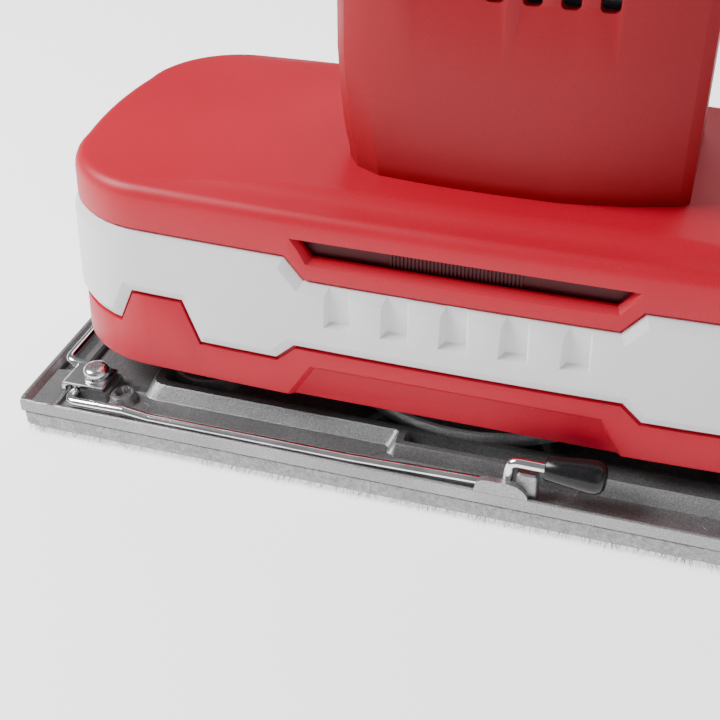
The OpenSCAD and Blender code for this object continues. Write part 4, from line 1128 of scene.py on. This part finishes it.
def makeHandleHalf(side, name):
    body = handleSolid(name, 0)
    combine(body, block("front", (-50, -60, 0), (46.4, 60, 220)))
    combine(body, block("foot", (0, -60, -20), (220, 60, 71.6)))
    combine(body, block("triggerWay", (63.5, -7.9, 108), (104.5, 7.9, 141)))
    combine(body, post("dialWay", (58, 153.2), 12.3, -4.9, 4.9, 64, axis="Y"))
    combine(body, post("lockWay", (80, 150.5), 4.75, -30, -8, 40, axis="Y"))
    for x, z in handle["bolts"]:
        combine(body, post("boltWay", (x, z), 3.5, -30, -15.2, 32, axis="Y"))
    combine(body, post("glandWay", (0, 120), 6.8, 141, 190, 40, axis="X"))
    seam = handle["seam"]
    if side < 0:
        combine(body, block("otherHalf", (0, -seam, 0), (240, 60, 240)))
    else:
        combine(body, block("otherHalf", (0, -60, 0), (240, seam, 240)))
    easeEdges(body, 0.4, 2, 40)
    return body


def makeGrip():
    # soft overmould: a crescent carried along the upper side of the bar
    rings = []
    for station in handleStations():
        if station[0].x < handle["grip"][0] + 3 or station[0].y < handle["grip"][1] - 5:
            continue
        outer = handleRing(station, 1.1)[6:14]
        inner = handleRing(station, -0.6)[6:14]
        rings.append(outer + inner[::-1])
    grip = ringStack("handleGrip", rings)
    combine(grip, block("below", (60, -40, 90), (200, 40, handle["grip"][1] + 0.2)))
    for index in range(9):
        x = 84 + 4.6 * index
        place = [station[0].y for station in handleStations() if station[0].x > x - 3][0]
        combine(grip, block("ridge", (x, -30, place + 13.2), (x + 1.1, 30, place + 40)))
    easeEdges(grip, 0.35, 2, 35)
    return grip


finished(makeHandleHalf(-1, "handleLeft"), "housing", redPlastic, "red_plastic", "handle_left", angle=35)
finished(makeHandleHalf(1, "handleRight"), "housing", redPlastic, "red_plastic", "handle_right", angle=35)
finished(makeGrip(), "housing", softGrip, "black_plastic", "handle_grip", angle=35)


def makeScrewHeads():
    heads = []
    for x, z in handle["bolts"]:
        head = turnedProfile("boltHead", [(0, 3.2), (0.2, 3.35), (1.1, 3.3), (1.5, 2.6), (1.5, 0.02)],
                             Vector((x, -15.2, z)), Vector((0, -1, 0)))
        for turn in (20, 110):
            arm = block("arm", (-2, -3, -0.35), (2, -0.9, 0.35))
            arm.data.transform(Matrix.Rotation(math.radians(turn), 4, "Y"))
            arm.data.transform(Matrix.Translation(Vector((x, -15.2, z)) * mm))
            combine(head, arm)
        heads.append(head)
        heads.append(post("boltShank", (x, z), 1.9, -15.0, 12, 20, axis="Y"))
    return joined("handleScrews", heads)


finished(makeScrewHeads(), "housing", zincPlate, "zinc_steel", "handle_screws", angle=35)


def makeTrigger():
    x, z = 66, 133
    outline = [(x, z + 4), (x, z - 0.5), (x + 2, z - 2.6), (x + 7, z - 4), (x + 14, z - 4.4),
               (x + 21, z - 5.4), (x + 27.2, z - 6.4), (x + 31, z - 6.0), (x + 33.4, z - 4.6),
               (x + 34, z - 2), (x + 34, z + 4)]
    piece = prismAlongY("trigger", outline, -7.5, 7.5)
    combine(piece, post("pinHole", (69, 134.5), 1.55, -20, 20, 24, axis="Y"))
    easeEdges(piece, 0.9, 3, 30)
    return piece


finished(makeTrigger(), "trigger", blackPlastic, "black_plastic", "trigger", angle=35)
lockProfile = [(0, 4.0), (0, 4.45), (6.2, 4.5), (7.0, 4.2), (7.4, 3.4), (7.5, 2.2), (7.3, 0.02)]
lockPlace = Vector((80, -13.5, 150.5))
lockButton = turnedProfile("lockButton", lockProfile, lockPlace, Vector((0, -1, 0)))
finished(lockButton, "lock_button", blackPlastic, "black_plastic", "lock_button", angle=40)
print("handle made")


# dust spigot and cable inlet

spigotOutside = [(-9.5, 13.6), (-9.5, 17.4), (-7.8, 17.4), (-7.8, 15), (1, 15), (1, 15.8), (1.4, 16),
                 (8, 16), (8.3, 15.7), (9.2, 15.7),
                 (9.5, 16), (23.6, 16), (24.6, 15.7), (25, 15.2), (25, 14.0), (24.4, 13.5), (-9.5, 13.5)]


def turnedRing(name, profile, start, way, sides=64):
    # a turned piece with a bore: the profile's two ends meet
    piece = turnedProfile(name, profile[:-1], start, way, sides)
    bore = [(profile[0][0] - 2, profile[-1][1]), (profile[-2][0] + 3, profile[-1][1])]
    combine(piece, turnedProfile("bore", bore, start, way, sides))
    return piece


dustSpigot = turnedRing("dustSpigot", spigotOutside, Vector((108.5, 0, 46)), Vector((1, 0, 0)))
finished(dustSpigot, "housing", blackPlastic, "black_plastic", "dust_spigot", angle=40)
glandOutside = [(0, 3.7), (0, 6.5), (14.6, 6.5), (15, 7.9), (15.4, 8.3), (17.6, 8.3), (18, 7.9),
                (18.3, 6.3), (19.6, 6.0), (20, 5.6), (20, 4.0), (20, 3.6)]
cableInlet = turnedRing("cableInlet", glandOutside, Vector((141, 0, 120)), Vector((1, 0, 0)), 48)
finished(cableInlet, "housing", blackPlastic, "black_plastic", "cable_inlet", angle=40)
print("ports made")


# finishes of the pieces carried over from the frame

slotMaterials = {
    "cast_aluminium": castAluminium, "foam": foamCells, "hook_fabric": pileFibres, "zinc_steel": zincPlate,
    "bright_wire": brightWire, "bearing_steel": bearingSteel, "tip_rubber": tipRubber,
    "isolator_rubber": isolatorRubber, "red_plastic": redPlastic, "grey_plastic": greyPlastic,
    "black_plastic": blackPlastic, "core_steel": coreSteel, "copper": copperWire, "brass": brassMetal,
    "carbon": carbonBlock, "zinc_casting": zincCasting, "circuit": circuitBoard,
    "capacitor_case": capacitorCase,
}
for entry in frame["record"]["subparts"]:
    node = nodes[entry["node"]]
    if node.hide_render:
        continue
    node.data.materials.clear()
    node.data.materials.append(slotMaterials[entry["material_slot"]])
print("carried-over pieces finished")


# stage, light and camera

stage = {"floorSize": 6.0, "floorDrop": 0.0012, "floorGlow": 1.1, "floorColor": (0.95, 0.95, 0.95)}


def makeStage():
    clearSelection()
    bpy.ops.mesh.primitive_plane_add(size=stage["floorSize"], location=(0, 0, -stage["floorDrop"]))
    floor = bpy.context.object
    floor.name = "floor"
    material, shader = shaderFor("paleFloor", stage["floorColor"], 0.7, Emission_Strength=stage["floorGlow"])
    shader.inputs["Emission Color"].default_value = (1, 1, 1, 1)
    floor.data.materials.append(material)


def makeLight(name, place, target, size, power, color=(1, 1, 1)):
    clearSelection()
    bpy.ops.object.light_add(type="AREA", location=place)
    lamp = bpy.context.object
    lamp.name = name
    lamp.data.shape = "RECTANGLE"
    lamp.data.size, lamp.data.size_y = size
    lamp.data.energy = power
    lamp.data.color = color
    lamp.rotation_euler = (Vector(target) - Vector(place)).to_track_quat("-Z", "Y").to_euler()


def makeWorld():
    world = bpy.data.worlds.new("studio")
    world.use_nodes = True
    world.node_tree.nodes["Background"].inputs["Color"].default_value = (1, 1, 1, 1)
    world.node_tree.nodes["Background"].inputs["Strength"].default_value = 0.28
    bpy.context.scene.world = world


def makeCamera():
    clearSelection()
    place = Vector((0.04858, -0.28153, 0.20731))
    forward = Vector((-0.2416, 0.7806, -0.5764))
    bpy.ops.object.camera_add(location=place)
    camera = bpy.context.object
    camera.rotation_euler = forward.to_track_quat("-Z", "Y").to_euler()
    camera.data.lens = 62.1
    camera.data.sensor_width = 36
    camera.data.clip_start = 0.01
    bpy.context.scene.camera = camera


makeStage()
makeWorld()
makeLight("key", (-0.62, -0.2, 0.62), (0, 0, 0.03), (0.35, 0.35), 14)
makeLight("fill", (0.7, -0.6, 0.5), (0, 0, 0.05), (0.9, 0.9), 2)
makeLight("back", (0.1, 0.7, 0.9), (0, 0, 0.08), (0.9, 0.6), 7)
makeCamera()
